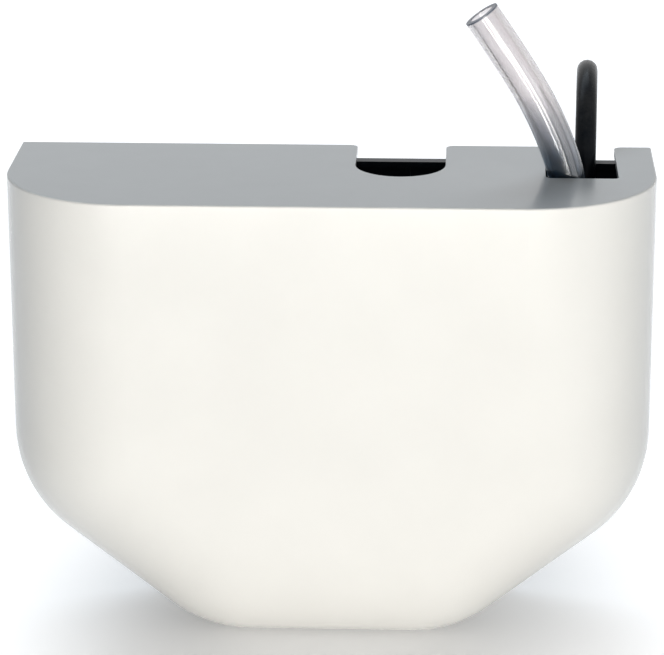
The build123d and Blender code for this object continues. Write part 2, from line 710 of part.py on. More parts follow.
def make_motor_coil():
    """Winding round the left limb of the stack."""
    left = MOTOR_X - STATOR_LEFT
    right = MOTOR_X - WINDOW_LEFT
    half = WINDOW_HALF_WIDTH - COIL_GAP
    build = COIL_BUILD
    front = MOTOR_Y - half
    rear = MOTOR_Y + half
    coil = block(left - build, right + build, front, rear, STACK_LOW - build, STACK_TOP + build)
    coil = fillet(coil.edges().filter_by(Axis.Y), COIL_CORNER)
    coil -= block(left, right, front - CUT, rear + CUT, STACK_LOW, STACK_TOP)
    return coil


def make_bracket(face, outward):
    """Strap across the stack with a bearing housing in its middle."""
    far = face + outward * BRACKET_WALL
    end = face + outward * BEARING_LENGTH
    low, high = sorted((face, far))
    reach = MOTOR_SCREW_OFFSET + BRACKET_END
    strap = block(
        MOTOR_X - BRACKET_WIDTH / 2, MOTOR_X + BRACKET_WIDTH / 2, MOTOR_Y - reach, MOTOR_Y + reach, low, high
    )
    strap = fillet(strap.edges().filter_by(Axis.Z), BRACKET_CORNER)
    housing = sorted((face, end))
    bracket = strap + post(MOTOR_X, MOTOR_Y, *housing, BEARING_HOUSING)
    bracket -= post(MOTOR_X, MOTOR_Y, housing[0] - CUT, housing[1] + CUT, BEARING_RADIUS)
    for x, y in motor_screw_points():
        bracket -= post(x, y, low - CUT, high + CUT, MOTOR_SCREW_RADIUS + FIT)
    return bracket


def make_bearing(face, outward):
    """Plain bearing on the outer side of a face of the stack."""
    low, high = sorted((face, face + outward * BEARING_LENGTH))
    return tube(MOTOR_X, MOTOR_Y, low, high, BEARING_RADIUS, SHAFT_RADIUS + SHAFT_CLEARANCE)


def make_motor_screws():
    """Long screws through the brackets and the stack into the lid's pillars."""
    seat = STACK_TOP + BRACKET_WALL
    length = seat - LID_TOP - 4.0
    return Compound([screw(x, y, seat, length, MOTOR_SCREW_RADIUS) for x, y in motor_screw_points()])


def make_rotor_core():
    """Solid rotor with a small chamfer at each end."""
    rotor = post(MOTOR_X, MOTOR_Y, STACK_LOW + 0.5, STACK_TOP - 0.5, ROTOR_RADIUS)
    rotor = chamfer(rotor.edges(), 0.6)
    return rotor - post(MOTOR_X, MOTOR_Y, STACK_LOW - CUT, STACK_TOP + CUT, SHAFT_RADIUS)


def make_rotor_shaft():
    """Shaft from the impeller up to the fan."""
    shaft = post(MOTOR_X, MOTOR_Y, IMPELLER_LOW, SHAFT_TOP, SHAFT_RADIUS)
    return chamfer(shaft.edges(), 0.5)


def make_cooling_fan():
    """Fan with pitched blades on a round hub."""
    top = FAN_LOW + FAN_HEIGHT
    fan = post(MOTOR_X, MOTOR_Y, FAN_LOW, top, FAN_HUB_RADIUS)
    reach = FAN_RADIUS - FAN_HUB_RADIUS + 1.5
    middle = FAN_RADIUS - reach / 2
    for index in range(FAN_BLADES):
        blade = Pos(middle, 0, 0) * Rot(FAN_PITCH, 0, 0) * Box(reach, FAN_BLADE_WALL, FAN_HEIGHT)
        fan += Pos(MOTOR_X, MOTOR_Y, (FAN_LOW + top) / 2) * Rot(0, 0, index * 360.0 / FAN_BLADES) * blade
    fan &= post(MOTOR_X, MOTOR_Y, FAN_LOW, top, FAN_RADIUS)
    return fan - post(MOTOR_X, MOTOR_Y, FAN_LOW - CUT, top + CUT, SHAFT_RADIUS)


def make_shaft_slinger():
    """Disc on the shaft that throws water off above the lid's collar."""
    low = LID_TOP + COLLAR_HEIGHT + SLINGER_GAP
    hub_top = low + SLINGER_WALL + SLINGER_HUB
    slinger = tube(MOTOR_X, MOTOR_Y, low, low + SLINGER_WALL, SLINGER_RADIUS, SHAFT_RADIUS)
    return slinger + tube(MOTOR_X, MOTOR_Y, low, hub_top, SHAFT_RADIUS + SLINGER_HUB_WALL, SHAFT_RADIUS)


# ---- Pump end ----
def scroll(extra):
    """Spiral of four tangent quarter circles, each wider than the last, turning clockwise from the rear."""
    centre = Vector(0, 0)
    arcs = []
    for quarter in range(4):
        radius = SCROLL_RADIUS + quarter * SCROLL_GROWTH + extra
        start = 90.0 - 90.0 * quarter
        arcs.append(CenterArc((centre.X, centre.Y), radius, start, -90.0))
        end = math.radians(start - 90.0)
        centre = centre - Vector(math.cos(end), math.sin(end)) * SCROLL_GROWTH
    edges = Curve() + arcs
    closing = Line(edges @ 1, edges @ 0)
    return Pos(MOTOR_X, MOTOR_Y) * make_face(arcs + [closing])


def volute_lugs(low, high):
    """Screw lugs round the volute, each joined to its wall."""
    lugs = Part()
    for (x, y), angle in zip(volute_screw_points(), VOLUTE_LUG_ANGLES):
        web = Box(VOLUTE_LUG_PITCH - SCROLL_RADIUS, 2 * VOLUTE_LUG_RADIUS, high - low)
        middle = (VOLUTE_LUG_PITCH + SCROLL_RADIUS) / 2
        lugs += Pos(MOTOR_X, MOTOR_Y, (low + high) / 2) * Rot(0, 0, angle) * Pos(middle, 0, 0) * web
        lugs += post(x, y, low, high, VOLUTE_LUG_RADIUS)
    return lugs


def make_volute():
    """Pump housing with its scroll, the socket of the column and the side nozzle."""
    body = extrude(Pos(0, 0, VOLUTE_LOW) * scroll(VOLUTE_WALL), amount=VOLUTE_HEIGHT)
    body += volute_lugs(VOLUTE_LOW, VOLUTE_LOW + VOLUTE_LUG_HEIGHT)
    body += post(MOTOR_X, MOTOR_Y, VOLUTE_TOP, VOLUTE_TOP + SOCKET_DEPTH, COLUMN_RADIUS + SOCKET_WALL)
    along = Pos(MOTOR_X + NOZZLE_REACH / 2, NOZZLE_Y, NOZZLE_Z) * Rot(0, 90, 0)
    body += along * Cylinder(NOZZLE_RADIUS, NOZZLE_REACH)
    body -= extrude(Pos(0, 0, VOLUTE_LOW - CUT) * scroll(0), amount=VOLUTE_HEIGHT - VOLUTE_WALL + CUT)
    body -= along * Cylinder(PIPE_BORE, NOZZLE_REACH + 2 * CUT)
    end = MOTOR_X + NOZZLE_REACH
    socket = Pos(end - NOZZLE_SOCKET / 2 + CUT / 2, NOZZLE_Y, NOZZLE_Z) * Rot(0, 90, 0)
    body -= socket * Cylinder(PIPE_RADIUS, NOZZLE_SOCKET + CUT)
    body -= post(MOTOR_X, MOTOR_Y, VOLUTE_TOP, VOLUTE_TOP + SOCKET_DEPTH + CUT, COLUMN_RADIUS)
    body -= post(MOTOR_X, MOTOR_Y, VOLUTE_LOW, VOLUTE_TOP + CUT, SHAFT_RADIUS + SHAFT_CLEARANCE)
    for x, y in volute_screw_points():
        body -= post(x, y, VOLUTE_LOW - CUT, VOLUTE_LOW + VOLUTE_SCREW_GRIP + 0.5, VOLUTE_SCREW_RADIUS)
    return body


def make_volute_cover():
    """Plate under the scroll with the eye and a slotted skirt."""
    low = VOLUTE_LOW - VOLUTE_COVER
    cover = extrude(Pos(0, 0, low) * scroll(VOLUTE_WALL), amount=VOLUTE_COVER)
    cover += volute_lugs(low, VOLUTE_LOW)
    skirt = tube(MOTOR_X, MOTOR_Y, low - SUCTION_SKIRT, low, EYE_RADIUS + 3.0, EYE_RADIUS + 1.2)
    for index in range(4):
        bar = Box(2 * EYE_RADIUS + 10.0, 3.0, SUCTION_SKIRT - 1.0)
        skirt -= Pos(MOTOR_X, MOTOR_Y, low - SUCTION_SKIRT / 2 - 0.6) * Rot(0, 0, 45.0 * index) * bar
    cover += skirt
    cover -= post(MOTOR_X, MOTOR_Y, low - CUT, VOLUTE_LOW + CUT, EYE_RADIUS)
    for x, y in volute_screw_points():
        cover -= post(x, y, low - CUT, VOLUTE_LOW + CUT, VOLUTE_SCREW_RADIUS + FIT)
    return cover


def make_volute_screws():
    """Screws that hold the plate under the volute."""
    low = VOLUTE_LOW - VOLUTE_COVER
    screws = []
    for x, y in volute_screw_points():
        shank = post(x, y, low, VOLUTE_LOW + VOLUTE_SCREW_GRIP, VOLUTE_SCREW_RADIUS)
        screws.append(shank + post(x, y, low - VOLUTE_SCREW_HEAD, low, 2 * VOLUTE_SCREW_RADIUS))
    return Compound(screws)


def make_impeller():
    """Open impeller with curved vanes under its plate."""
    impeller = post(MOTOR_X, MOTOR_Y, IMPELLER_LOW, IMPELLER_TOP, IMPELLER_HUB)
    impeller += post(MOTOR_X, MOTOR_Y, IMPELLER_TOP - IMPELLER_PLATE, IMPELLER_TOP, IMPELLER_RADIUS)
    vane_arc = RadiusArc((IMPELLER_HUB - 1.0, 0), (0.8 * IMPELLER_RADIUS, -0.6 * IMPELLER_RADIUS), 11.0)
    vane = offset(vane_arc, amount=VANE_WALL / 2, side=Side.BOTH)
    vane_face = make_face(vane.edges())
    height = IMPELLER_TOP - IMPELLER_LOW - IMPELLER_PLATE / 2
    for index in range(IMPELLER_VANES):
        turned = Pos(MOTOR_X, MOTOR_Y, IMPELLER_LOW) * Rot(0, 0, index * 360.0 / IMPELLER_VANES) * vane_face
        impeller += extrude(turned, amount=height, dir=(0, 0, 1))
    impeller &= post(MOTOR_X, MOTOR_Y, IMPELLER_LOW, IMPELLER_TOP, IMPELLER_RADIUS)
    return impeller - post(MOTOR_X, MOTOR_Y, IMPELLER_LOW - CUT, IMPELLER_TOP + CUT, SHAFT_RADIUS)


def make_pump_column():
    """Tube that hangs the volute from the lid, with windows for the water."""
    column = post(MOTOR_X, MOTOR_Y, VOLUTE_TOP, LID_LOW, COLUMN_RADIUS)
    column += post(MOTOR_X, MOTOR_Y, LID_LOW - COLUMN_FLANGE, LID_LOW, COLUMN_FLANGE_RADIUS)
    column -= post(MOTOR_X, MOTOR_Y, VOLUTE_TOP - CUT, LID_LOW + CUT, COLUMN_BORE)
    window = Box(3 * COLUMN_RADIUS, COLUMN_WINDOW_WIDTH, COLUMN_WINDOW_HEIGHT)
    column -= Pos(MOTOR_X, MOTOR_Y, (VOLUTE_TOP + LID_LOW) / 2) * window
    for x, y in column_screw_points():
        column -= post(x, y, LID_LOW - COLUMN_FLANGE - CUT, LID_LOW + CUT, COLUMN_SCREW_RADIUS)
    return column


def make_column_screws():
    """Screws down through the lid into the column's flange."""
    length = LID + COLUMN_FLANGE
    screws = []
    for x, y in column_screw_points():
        shank = post(x, y, LID_TOP - length, LID_TOP, COLUMN_SCREW_RADIUS)
        screws.append(shank + post(x, y, LID_TOP, LID_TOP + COLUMN_SCREW_HEAD, 2 * COLUMN_SCREW_RADIUS))
    return Compound(screws)


def make_discharge_pipe():
    """Pipe from the volute's nozzle up to the check valve."""
    points = [
        (MOTOR_X + NOZZLE_REACH - NOZZLE_SOCKET, NOZZLE_Y, NOZZLE_Z),
        (VALVE_X - PIPE_SWEEP, NOZZLE_Y, NOZZLE_Z),
        (VALVE_X, VALVE_Y, LID_LOW - PIPE_RISE),
        (VALVE_X, VALVE_Y, LID_LOW),
    ]
    path = FilletPolyline(*points, radius=(PIPE_BEND, PIPE_BEND))
    ring = Circle(PIPE_RADIUS) - Circle(PIPE_BORE)
    return sweep(path.location_at(0) * ring, path=path)


# ---- Check valve and outlet ----
def make_valve_body():
    """Check valve's chamber, with its flange on the lid and its spigot below."""
    x, y = VALVE_X, VALVE_Y
    body = post(x, y, LID_TOP, VALVE_TOP, VALVE_RADIUS)
    body += post(x, y, LID_TOP, LID_TOP + VALVE_FLANGE, VALVE_FLANGE_RADIUS)
    body += post(x, y, LID_LOW - VALVE_SPIGOT, LID_TOP, VALVE_SPIGOT_RADIUS)
    body -= post(x, y, LID_LOW - VALVE_SPIGOT - CUT, LID_LOW, PIPE_RADIUS)
    body -= post(x, y, LID_LOW - CUT, VALVE_SEAT + CUT, VALVE_THROAT_RADIUS)
    body -= post(x, y, VALVE_SEAT, VALVE_TOP + CUT, VALVE_CHAMBER_RADIUS)
    return body


def make_valve_poppet():
    """Poppet with four guide wings and the stub that centres the spring."""
    x, y = VALVE_X, VALVE_Y
    poppet = post(x, y, POPPET_LOW, POPPET_TOP, POPPET_RADIUS)
    poppet = chamfer(poppet.faces().sort_by(Axis.Z)[0].edges(), POPPET_EDGE)
    poppet += post(x, y, POPPET_TOP, POPPET_TOP + POPPET_STUB, POPPET_STUB_RADIUS)
    wing_radius = VALVE_CHAMBER_RADIUS - SHAFT_CLEARANCE
    wings = Pos(x, y, POPPET_LOW + POPPET_WING / 2) * Box(2 * wing_radius + 2, POPPET_WING_WALL, POPPET_WING)
    wings += Pos(x, y, POPPET_LOW + POPPET_WING / 2) * Box(POPPET_WING_WALL, 2 * wing_radius + 2, POPPET_WING)
    inner = SPRING_RADIUS + SPRING_WIRE + 0.4
    wings -= post(x, y, POPPET_TOP, POPPET_LOW + POPPET_WING + CUT, inner)
    wings &= post(x, y, POPPET_LOW, POPPET_LOW + POPPET_WING, wing_radius)
    return poppet + wings


def make_valve_spring():
    """Helical spring between the poppet and the barb."""
    low = POPPET_TOP + SPRING_WIRE
    high = SPRING_TOP - SPRING_WIRE
    path = Helix(pitch=(high - low) / SPRING_TURNS, height=high - low, radius=SPRING_RADIUS)
    wire = sweep(Plane(origin=path @ 0, z_dir=path % 0) * Circle(SPRING_WIRE), path=path)
    return Pos(VALVE_X, VALVE_Y, low) * wire


def make_valve_seal():
    """Flat ring between the valve's chamber and the barb."""
    return tube(VALVE_X, VALVE_Y, VALVE_TOP, BARB_LOW, VALVE_RADIUS, VALVE_CHAMBER_RADIUS)


def make_outlet_barb():
    """Screw cap with a ridged hose tail, turned from one profile."""
    profile = [(BARB_BORE, SPRING_TOP), (VALVE_CHAMBER_RADIUS - FIT, SPRING_TOP)]
    profile += [(VALVE_CHAMBER_RADIUS - FIT, BARB_LOW), (VALVE_RADIUS, BARB_LOW)]
    profile += [(VALVE_RADIUS, HOSE_LOW), (BARB_ROOT, HOSE_LOW)]
    pitch = BARB_LENGTH / (BARB_RIDGES + 1)
    for index in range(BARB_RIDGES):
        foot = HOSE_LOW + pitch * (index + 1)
        profile += [(BARB_ROOT, foot), (BARB_CREST, foot)]
    profile += [(BARB_ROOT, HOSE_LOW + BARB_LENGTH), (BARB_BORE, HOSE_LOW + BARB_LENGTH)]
    face = Plane.XZ * make_face(Polyline(*profile, close=True))
    return Pos(VALVE_X, VALVE_Y, 0) * revolve(face, Axis.Z)


def make_hose_clip():
    """Clip round the foot of the hose, with two ears."""
    low = HOSE_LOW + CLIP_LIFT
    high = low + CLIP_WIDTH
    clip = tube(VALVE_X, VALVE_Y, low, high, HOSE_RADIUS + CLIP_WALL, HOSE_RADIUS)
    start = VALVE_X + HOSE_RADIUS
    for side in (-1, 1):
        edge = VALVE_Y + side * CLIP_EAR_SIDE
        walls = sorted((edge, edge - side * CLIP_EAR_WALL))
        clip += block(start + 0.2, start + CLIP_EAR, *walls, low, high)
    return clip


# ---- Level switches ----
def make_stem(x, y, rest):
    """Guide rod of a float, hung from the lid by its flange, with a collar that stops the float."""
    stem = post(x, y, rest - FLOAT_GAP - STOP_CLIP - STEM_TAIL, LID_TOP + STEM_TOP, STEM_RADIUS)
    stem = chamfer(stem.edges(), 0.6)
    return stem + post(x, y, LID_LOW - STEM_FLANGE, LID_LOW, STEM_FLANGE_RADIUS)


def make_float(x, y, rest, height, radius):
    """Round float with a bore that slides on its stem."""
    body = post(x, y, rest, rest + height, radius)
    body = fillet(body.edges(), 2.0)
    return body - post(x, y, rest - CUT, rest + height + CUT, STEM_RADIUS + FLOAT_CLEARANCE)


def make_stop_clip(x, y, rest):
    """Split ring on a stem, on which the float rests."""
    top = rest - FLOAT_GAP
    clip = tube(x, y, top - STOP_CLIP, top, STOP_CLIP_RADIUS, STEM_RADIUS)
    return clip - block(x, x + 2 * STOP_CLIP_RADIUS, y - 1.0, y + 1.0, top - STOP_CLIP - CUT, top + CUT)


def make_stem_nuts():
    """Hexagon nuts that hold both stems to the lid."""
    nuts = []
    for x, y in ((MAIN_STEM_X, MAIN_STEM_Y), (ALARM_STEM_X, ALARM_STEM_Y)):
        nut = extrude(Pos(x, y, LID_TOP) * RegularPolygon(STEM_NUT_RADIUS, 6), amount=STEM_NUT)
        nuts.append(nut - post(x, y, LID_TOP - CUT, LID_TOP + STEM_NUT + CUT, STEM_RADIUS))
    return Compound(nuts)


# ---- Control box ----
def case_outline(inset):
    """L shaped box seen from the front: tall on the left, a low shoulder under the cord on the right."""
    return Polygon(
        (CASE_LEFT + inset, CASE_LOW + inset),
        (CASE_RIGHT - inset, CASE_LOW + inset),
        (CASE_RIGHT - inset, CASE_SHOULDER - inset),
        (CASE_SHOULDER_X - inset, CASE_SHOULDER - inset),
        (CASE_SHOULDER_X - inset, CASE_TOP - inset),
        (CASE_LEFT + inset, CASE_TOP - inset),
        align=None,
    )


def case_screw_points():
    """Corners of the control box, in front view."""
    i = CASE_BOSS_INSET
    return [
        (CASE_LEFT + i, CASE_LOW + i),
        (CASE_RIGHT - i, CASE_LOW + i),
        (CASE_SHOULDER_X - i, CASE_TOP - i),
        (CASE_LEFT + i, CASE_TOP - i),
    ]


def make_control_case():
    """Tray of the control box, with bosses for its screws and standoffs for the board."""
    case_lip = CASE_FRONT + CASE_LID
    case = upright(case_outline(0), case_lip, PLATE_FRONT)
    case -= upright(case_outline(CASE_WALL), case_lip - CUT, PLATE_FRONT - CASE_WALL)
    floor = PLATE_FRONT - CASE_WALL
    for x, z in case_screw_points():
        case += rod_y(x, z, case_lip, floor + 0.5, CASE_BOSS_RADIUS)
    for x, z in board_post_points():
        case += rod_y(x, z, floor - BOARD_STANDOFF, floor + 0.5, STANDOFF_RADIUS)
    for x, z in case_screw_points():
        case -= rod_y(x, z, case_lip - CUT, case_lip + CASE_SCREW_LENGTH, CASE_SCREW_RADIUS)
    for x, z, seat in chassis_screw_places()[2:]:
        case -= rod_y(x, z, seat - CUT, PLATE_FRONT + CUT, LID_SCREW_RADIUS + FIT)
    return case


def board_post_points():
    """Standoffs under the board, in front view."""
    left = CASE_LEFT + BOARD_POST_SIDE
    right = CASE_RIGHT - BOARD_POST_SIDE
    low = CASE_LOW + BOARD_POST_END
    return [(left, low), (right, low), (left, CASE_TOP - BOARD_POST_END)]


def make_control_board():
    """Circuit board that follows the outline of the control box."""
    rear = PLATE_FRONT - CASE_WALL - BOARD_STANDOFF
    board = upright(case_outline(BOARD_INSET), rear - BOARD_WALL, rear)
    for x, z in case_screw_points():
        board -= rod_y(x, z, rear - BOARD_WALL - CUT, rear + CUT, CASE_BOSS_RADIUS + 0.3)
    return board


def make_board_relay():
    """Relay on the board."""
    rear = PLATE_FRONT - CASE_WALL - BOARD_STANDOFF - BOARD_WALL
    middle = (CASE_LEFT + CASE_SHOULDER_X) / 2
    width, depth, height = RELAY
    high = CASE_TOP - RELAY_DROP + height / 2
    relay = block(middle - width / 2, middle + width / 2, rear - depth, rear, high - height, high)
    return fillet(relay.faces().sort_by(Axis.Y)[0].edges(), 1.0)


def make_terminal_block():
    """Terminal block with a screw well for each wire."""
    rear = PLATE_FRONT - CASE_WALL - BOARD_STANDOFF - BOARD_WALL
    width, depth, height = TERMINAL
    left = CASE_RIGHT - TERMINAL_SIDE - width
    low = (CASE_LOW + CASE_SHOULDER - height) / 2
    body = block(left, left + width, rear - depth, rear, low, low + height)
    pitch = width / TERMINALS
    for index in range(TERMINALS):
        x = left + pitch * (index + 0.5)
        body -= rod_y(x, low + height / 2, rear - depth - CUT, rear - TERMINAL_FLOOR, TERMINAL_PIN_RADIUS)
    return body


def make_control_cover():
    """Flat cover of the control box."""
    cover = upright(case_outline(0), CASE_FRONT, CASE_FRONT + CASE_LID)
    for x, z in case_screw_points():
        cover -= rod_y(x, z, CASE_FRONT - CUT, CASE_FRONT + CASE_LID + CUT, CASE_SCREW_RADIUS + FIT)
    return cover


def make_case_screws():
    """Screws that hold the cover on the control box."""
    screws = []
    for x, z in case_screw_points():
        shank = rod_y(x, z, CASE_FRONT, CASE_FRONT + CASE_SCREW_LENGTH, CASE_SCREW_RADIUS)
        screws.append(shank + rod_y(x, z, CASE_FRONT - CASE_SCREW_HEAD, CASE_FRONT, 2 * CASE_SCREW_RADIUS))
    return Compound(screws)


# ---- Power cord ----
def make_strain_relief():
    """Flanged taper where the cord enters the control box."""
    relief = post(CORD_X, CORD_Y, CASE_SHOULDER, CASE_SHOULDER + RELIEF_FLANGE, RELIEF_FLANGE_RADIUS)
    height = RELIEF_LENGTH - RELIEF_FLANGE
    taper = Pos(CORD_X, CORD_Y, CORD_START - height / 2) * Cone(RELIEF_ROOT, RELIEF_TIP, height)
    return relief + taper


def make_cord_coil():
    """Spare cord in a flat coil, as one round bundle."""
    outer = COIL_RADIUS + COIL_HALF
    inner = COIL_RADIUS - COIL_HALF
    coil = tube(COIL_X, COIL_Y, 0, COIL_HEIGHT, outer, inner)
    return fillet(coil.edges(), 0.9 * CORD_RADIUS)


def make_cord_tie():
    """Strap over one side of the coil, turned to its place round the coil."""
    outside = COIL_HALF + 1.0 + TIE_WALL
    half = TIE_WIDTH / 2
    strap = block(COIL_RADIUS - outside, COIL_RADIUS + outside, -half, half, 0, COIL_HEIGHT + TIE_WALL)
    inside = outside - TIE_WALL
    strap -= block(COIL_RADIUS - inside, COIL_RADIUS + inside, -half - CUT, half + CUT, -CUT, COIL_HEIGHT)
    return Pos(COIL_X, COIL_Y, 0) * Rot(0, 0, TIE_ANGLE) * strap


def make_plug_body():
    """Round plug lying on its side, turned from one profile, with two flats for the earth strips."""
    neck = PLUG_BOOT + PLUG_NECK
    end = neck + PLUG_LENGTH
    profile = [(0, 0), (CORD_RADIUS + 1.0, 0), (PLUG_BOOT_RADIUS, PLUG_BOOT)]
    profile += [(0.65 * PLUG_RADIUS, PLUG_BOOT + 2.0)]
    profile += [(PLUG_RADIUS, neck), (PLUG_RADIUS, end - 1.0), (PLUG_RADIUS - 1.0, end), (0, end)]
    face = Plane.XZ * make_face(Polyline(*profile, close=True))
    body = revolve(face, Axis.Z)
    for side in (-1, 1):
        body -= Pos(0, side * (PLUG_FLAT + 5.0), neck + PLUG_LENGTH / 2 + 4.0) * Box(8.0, 10.0, PLUG_LENGTH)
    return Pos(PLUG_END_X, PLUG_Y, PLUG_RADIUS) * Rot(0, -90, 0) * body


def make_plug_pins():
    """Two round pins of the plug."""
    face_x = PLUG_END_X - PLUG_BOOT - PLUG_NECK - PLUG_LENGTH
    pins = []
    for side in (-1, 1):
        place = Pos(face_x - PIN_LENGTH / 2, PLUG_Y + side * PIN_PITCH / 2, PLUG_RADIUS) * Rot(0, -90, 0)
        pin = Cylinder(PIN_RADIUS, PIN_LENGTH)
        pins.append(place * fillet(pin.faces().sort_by(Axis.Z)[-1].edges(), PIN_ROUND))
    return Compound(pins)


MAIN = (MAIN_STEM_X, MAIN_STEM_Y)
ALARM = (ALARM_STEM_X, ALARM_STEM_Y)
NODES = {
    "front_cover": make_front_cover(),
    "rear_chassis": make_rear_chassis(),
    "chassis_screws": make_chassis_screws(),
    "tank": make_tank(),
    "lid_gasket": make_lid_gasket(),
    "tank_lid": make_tank_lid(),
    "lid_screws": make_lid_screws(),
    "inlet_bush": make_inlet_bush(),
    "inlet_strainer": make_inlet_strainer(),
    "stator_core": make_stator_core(),
    "motor_coil": make_motor_coil(),
    "lower_bracket": make_bracket(STACK_LOW, -1),
    "upper_bracket": make_bracket(STACK_TOP, 1),
    "lower_bearing": make_bearing(STACK_LOW, -1),
    "upper_bearing": make_bearing(STACK_TOP, 1),
    "motor_screws": make_motor_screws(),
    "rotor_core": make_rotor_core(),
    "rotor_shaft": make_rotor_shaft(),
    "cooling_fan": make_cooling_fan(),
    "shaft_slinger": make_shaft_slinger(),
    "pump_column": make_pump_column(),
    "column_screws": make_column_screws(),
    "volute": make_volute(),
    "volute_cover": make_volute_cover(),
    "volute_screws": make_volute_screws(),
    "impeller": make_impeller(),
    "discharge_pipe": make_discharge_pipe(),
    "valve_body": make_valve_body(),
    "valve_seal": make_valve_seal(),
    "valve_poppet": make_valve_poppet(),
    "valve_spring": make_valve_spring(),
    "outlet_barb": make_outlet_barb(),
    "hose_clip": make_hose_clip(),
    "main_stem": make_stem(*MAIN, MAIN_FLOAT_REST),
    "main_float": make_float(*MAIN, MAIN_FLOAT_REST, MAIN_FLOAT_HEIGHT, MAIN_FLOAT_RADIUS),
    "main_stop_clip": make_stop_clip(*MAIN, MAIN_FLOAT_REST),
    "alarm_stem": make_stem(*ALARM, ALARM_FLOAT_REST),
    "alarm_float": make_float(*ALARM, ALARM_FLOAT_REST, ALARM_FLOAT_HEIGHT, ALARM_FLOAT_RADIUS),
    "alarm_stop_clip": make_stop_clip(*ALARM, ALARM_FLOAT_REST),
    "stem_nuts": make_stem_nuts(),
    "control_case": make_control_case(),
    "control_cover": make_control_cover(),
    "control_board": make_control_board(),
    "board_relay": make_board_relay(),
    "terminal_block": make_terminal_block(),
    "case_screws": make_case_screws(),
    "strain_relief": make_strain_relief(),
    "outlet_hose": swept_tube(HOSE_ROUTE, HOSE_RADIUS, HOSE_BORE),
    "power_cord": swept_tube(CORD_ROUTE, CORD_RADIUS),
    "cord_coil": make_cord_coil(),
    "cord_tail": swept_tube(TAIL_ROUTE, CORD_RADIUS),
    "cord_tie": make_cord_tie(),
    "plug_body": make_plug_body(),
    "plug_pins": make_plug_pins(),
}

os.makedirs("parts", exist_ok=True)
for name, shape in NODES.items():
    export_step(shape, f"parts/{name}.step")
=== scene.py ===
import logging
from dataclasses import dataclass, field
from enum import Enum
from math import cos, floor, hypot, pi, radians, sin, sqrt

import bmesh
import bpy
from mathutils import Matrix, Vector


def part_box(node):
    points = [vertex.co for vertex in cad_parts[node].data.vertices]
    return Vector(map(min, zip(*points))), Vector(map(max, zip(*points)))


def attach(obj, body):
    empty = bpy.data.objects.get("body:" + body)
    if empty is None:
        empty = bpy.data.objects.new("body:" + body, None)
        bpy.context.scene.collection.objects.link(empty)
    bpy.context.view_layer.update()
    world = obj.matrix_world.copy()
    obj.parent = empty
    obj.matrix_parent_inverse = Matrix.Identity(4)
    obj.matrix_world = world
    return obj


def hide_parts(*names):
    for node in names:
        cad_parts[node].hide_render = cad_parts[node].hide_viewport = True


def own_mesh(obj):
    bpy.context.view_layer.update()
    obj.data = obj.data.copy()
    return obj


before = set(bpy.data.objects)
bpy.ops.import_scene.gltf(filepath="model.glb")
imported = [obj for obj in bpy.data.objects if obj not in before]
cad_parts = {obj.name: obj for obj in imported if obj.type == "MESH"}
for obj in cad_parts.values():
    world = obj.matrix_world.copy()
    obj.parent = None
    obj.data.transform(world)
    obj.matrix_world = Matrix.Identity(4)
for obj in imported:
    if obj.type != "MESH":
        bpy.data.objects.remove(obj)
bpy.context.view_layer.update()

LOG = logging.getLogger("condensate_pump")
MM = 0.001

Colour = tuple[float, float, float]
Point = tuple[float, float, float]
Outline = list[tuple[float, float]]
Material = bpy.types.Material
Mesh = bmesh.types.BMesh
Node = bpy.types.Node
Piece = bpy.types.Object
Socket = bpy.types.NodeSocket
Tree = bpy.types.NodeTree
UP = Vector((0, 0, 1))


def metres(points: list[Point]) -> list[Vector]:
    """Points given in millimetres, as vectors in metres."""
    return [Vector(point) * MM for point in points]


def smooth_step(value: float, start: float, end: float) -> float:
    """How far value has gone from start to end, eased at both ends.

    Args:
        value: Where on the scale to read.
        start: Value at which the result leaves 0.
        end: Value at which the result reaches 1.

    Returns:
        A number from 0 to 1.
    """
    share = min(max((value - start) / (end - start), 0.0), 1.0)
    return share * share * (3 - 2 * share)


# ---------------------------------------------------------------- shader trees


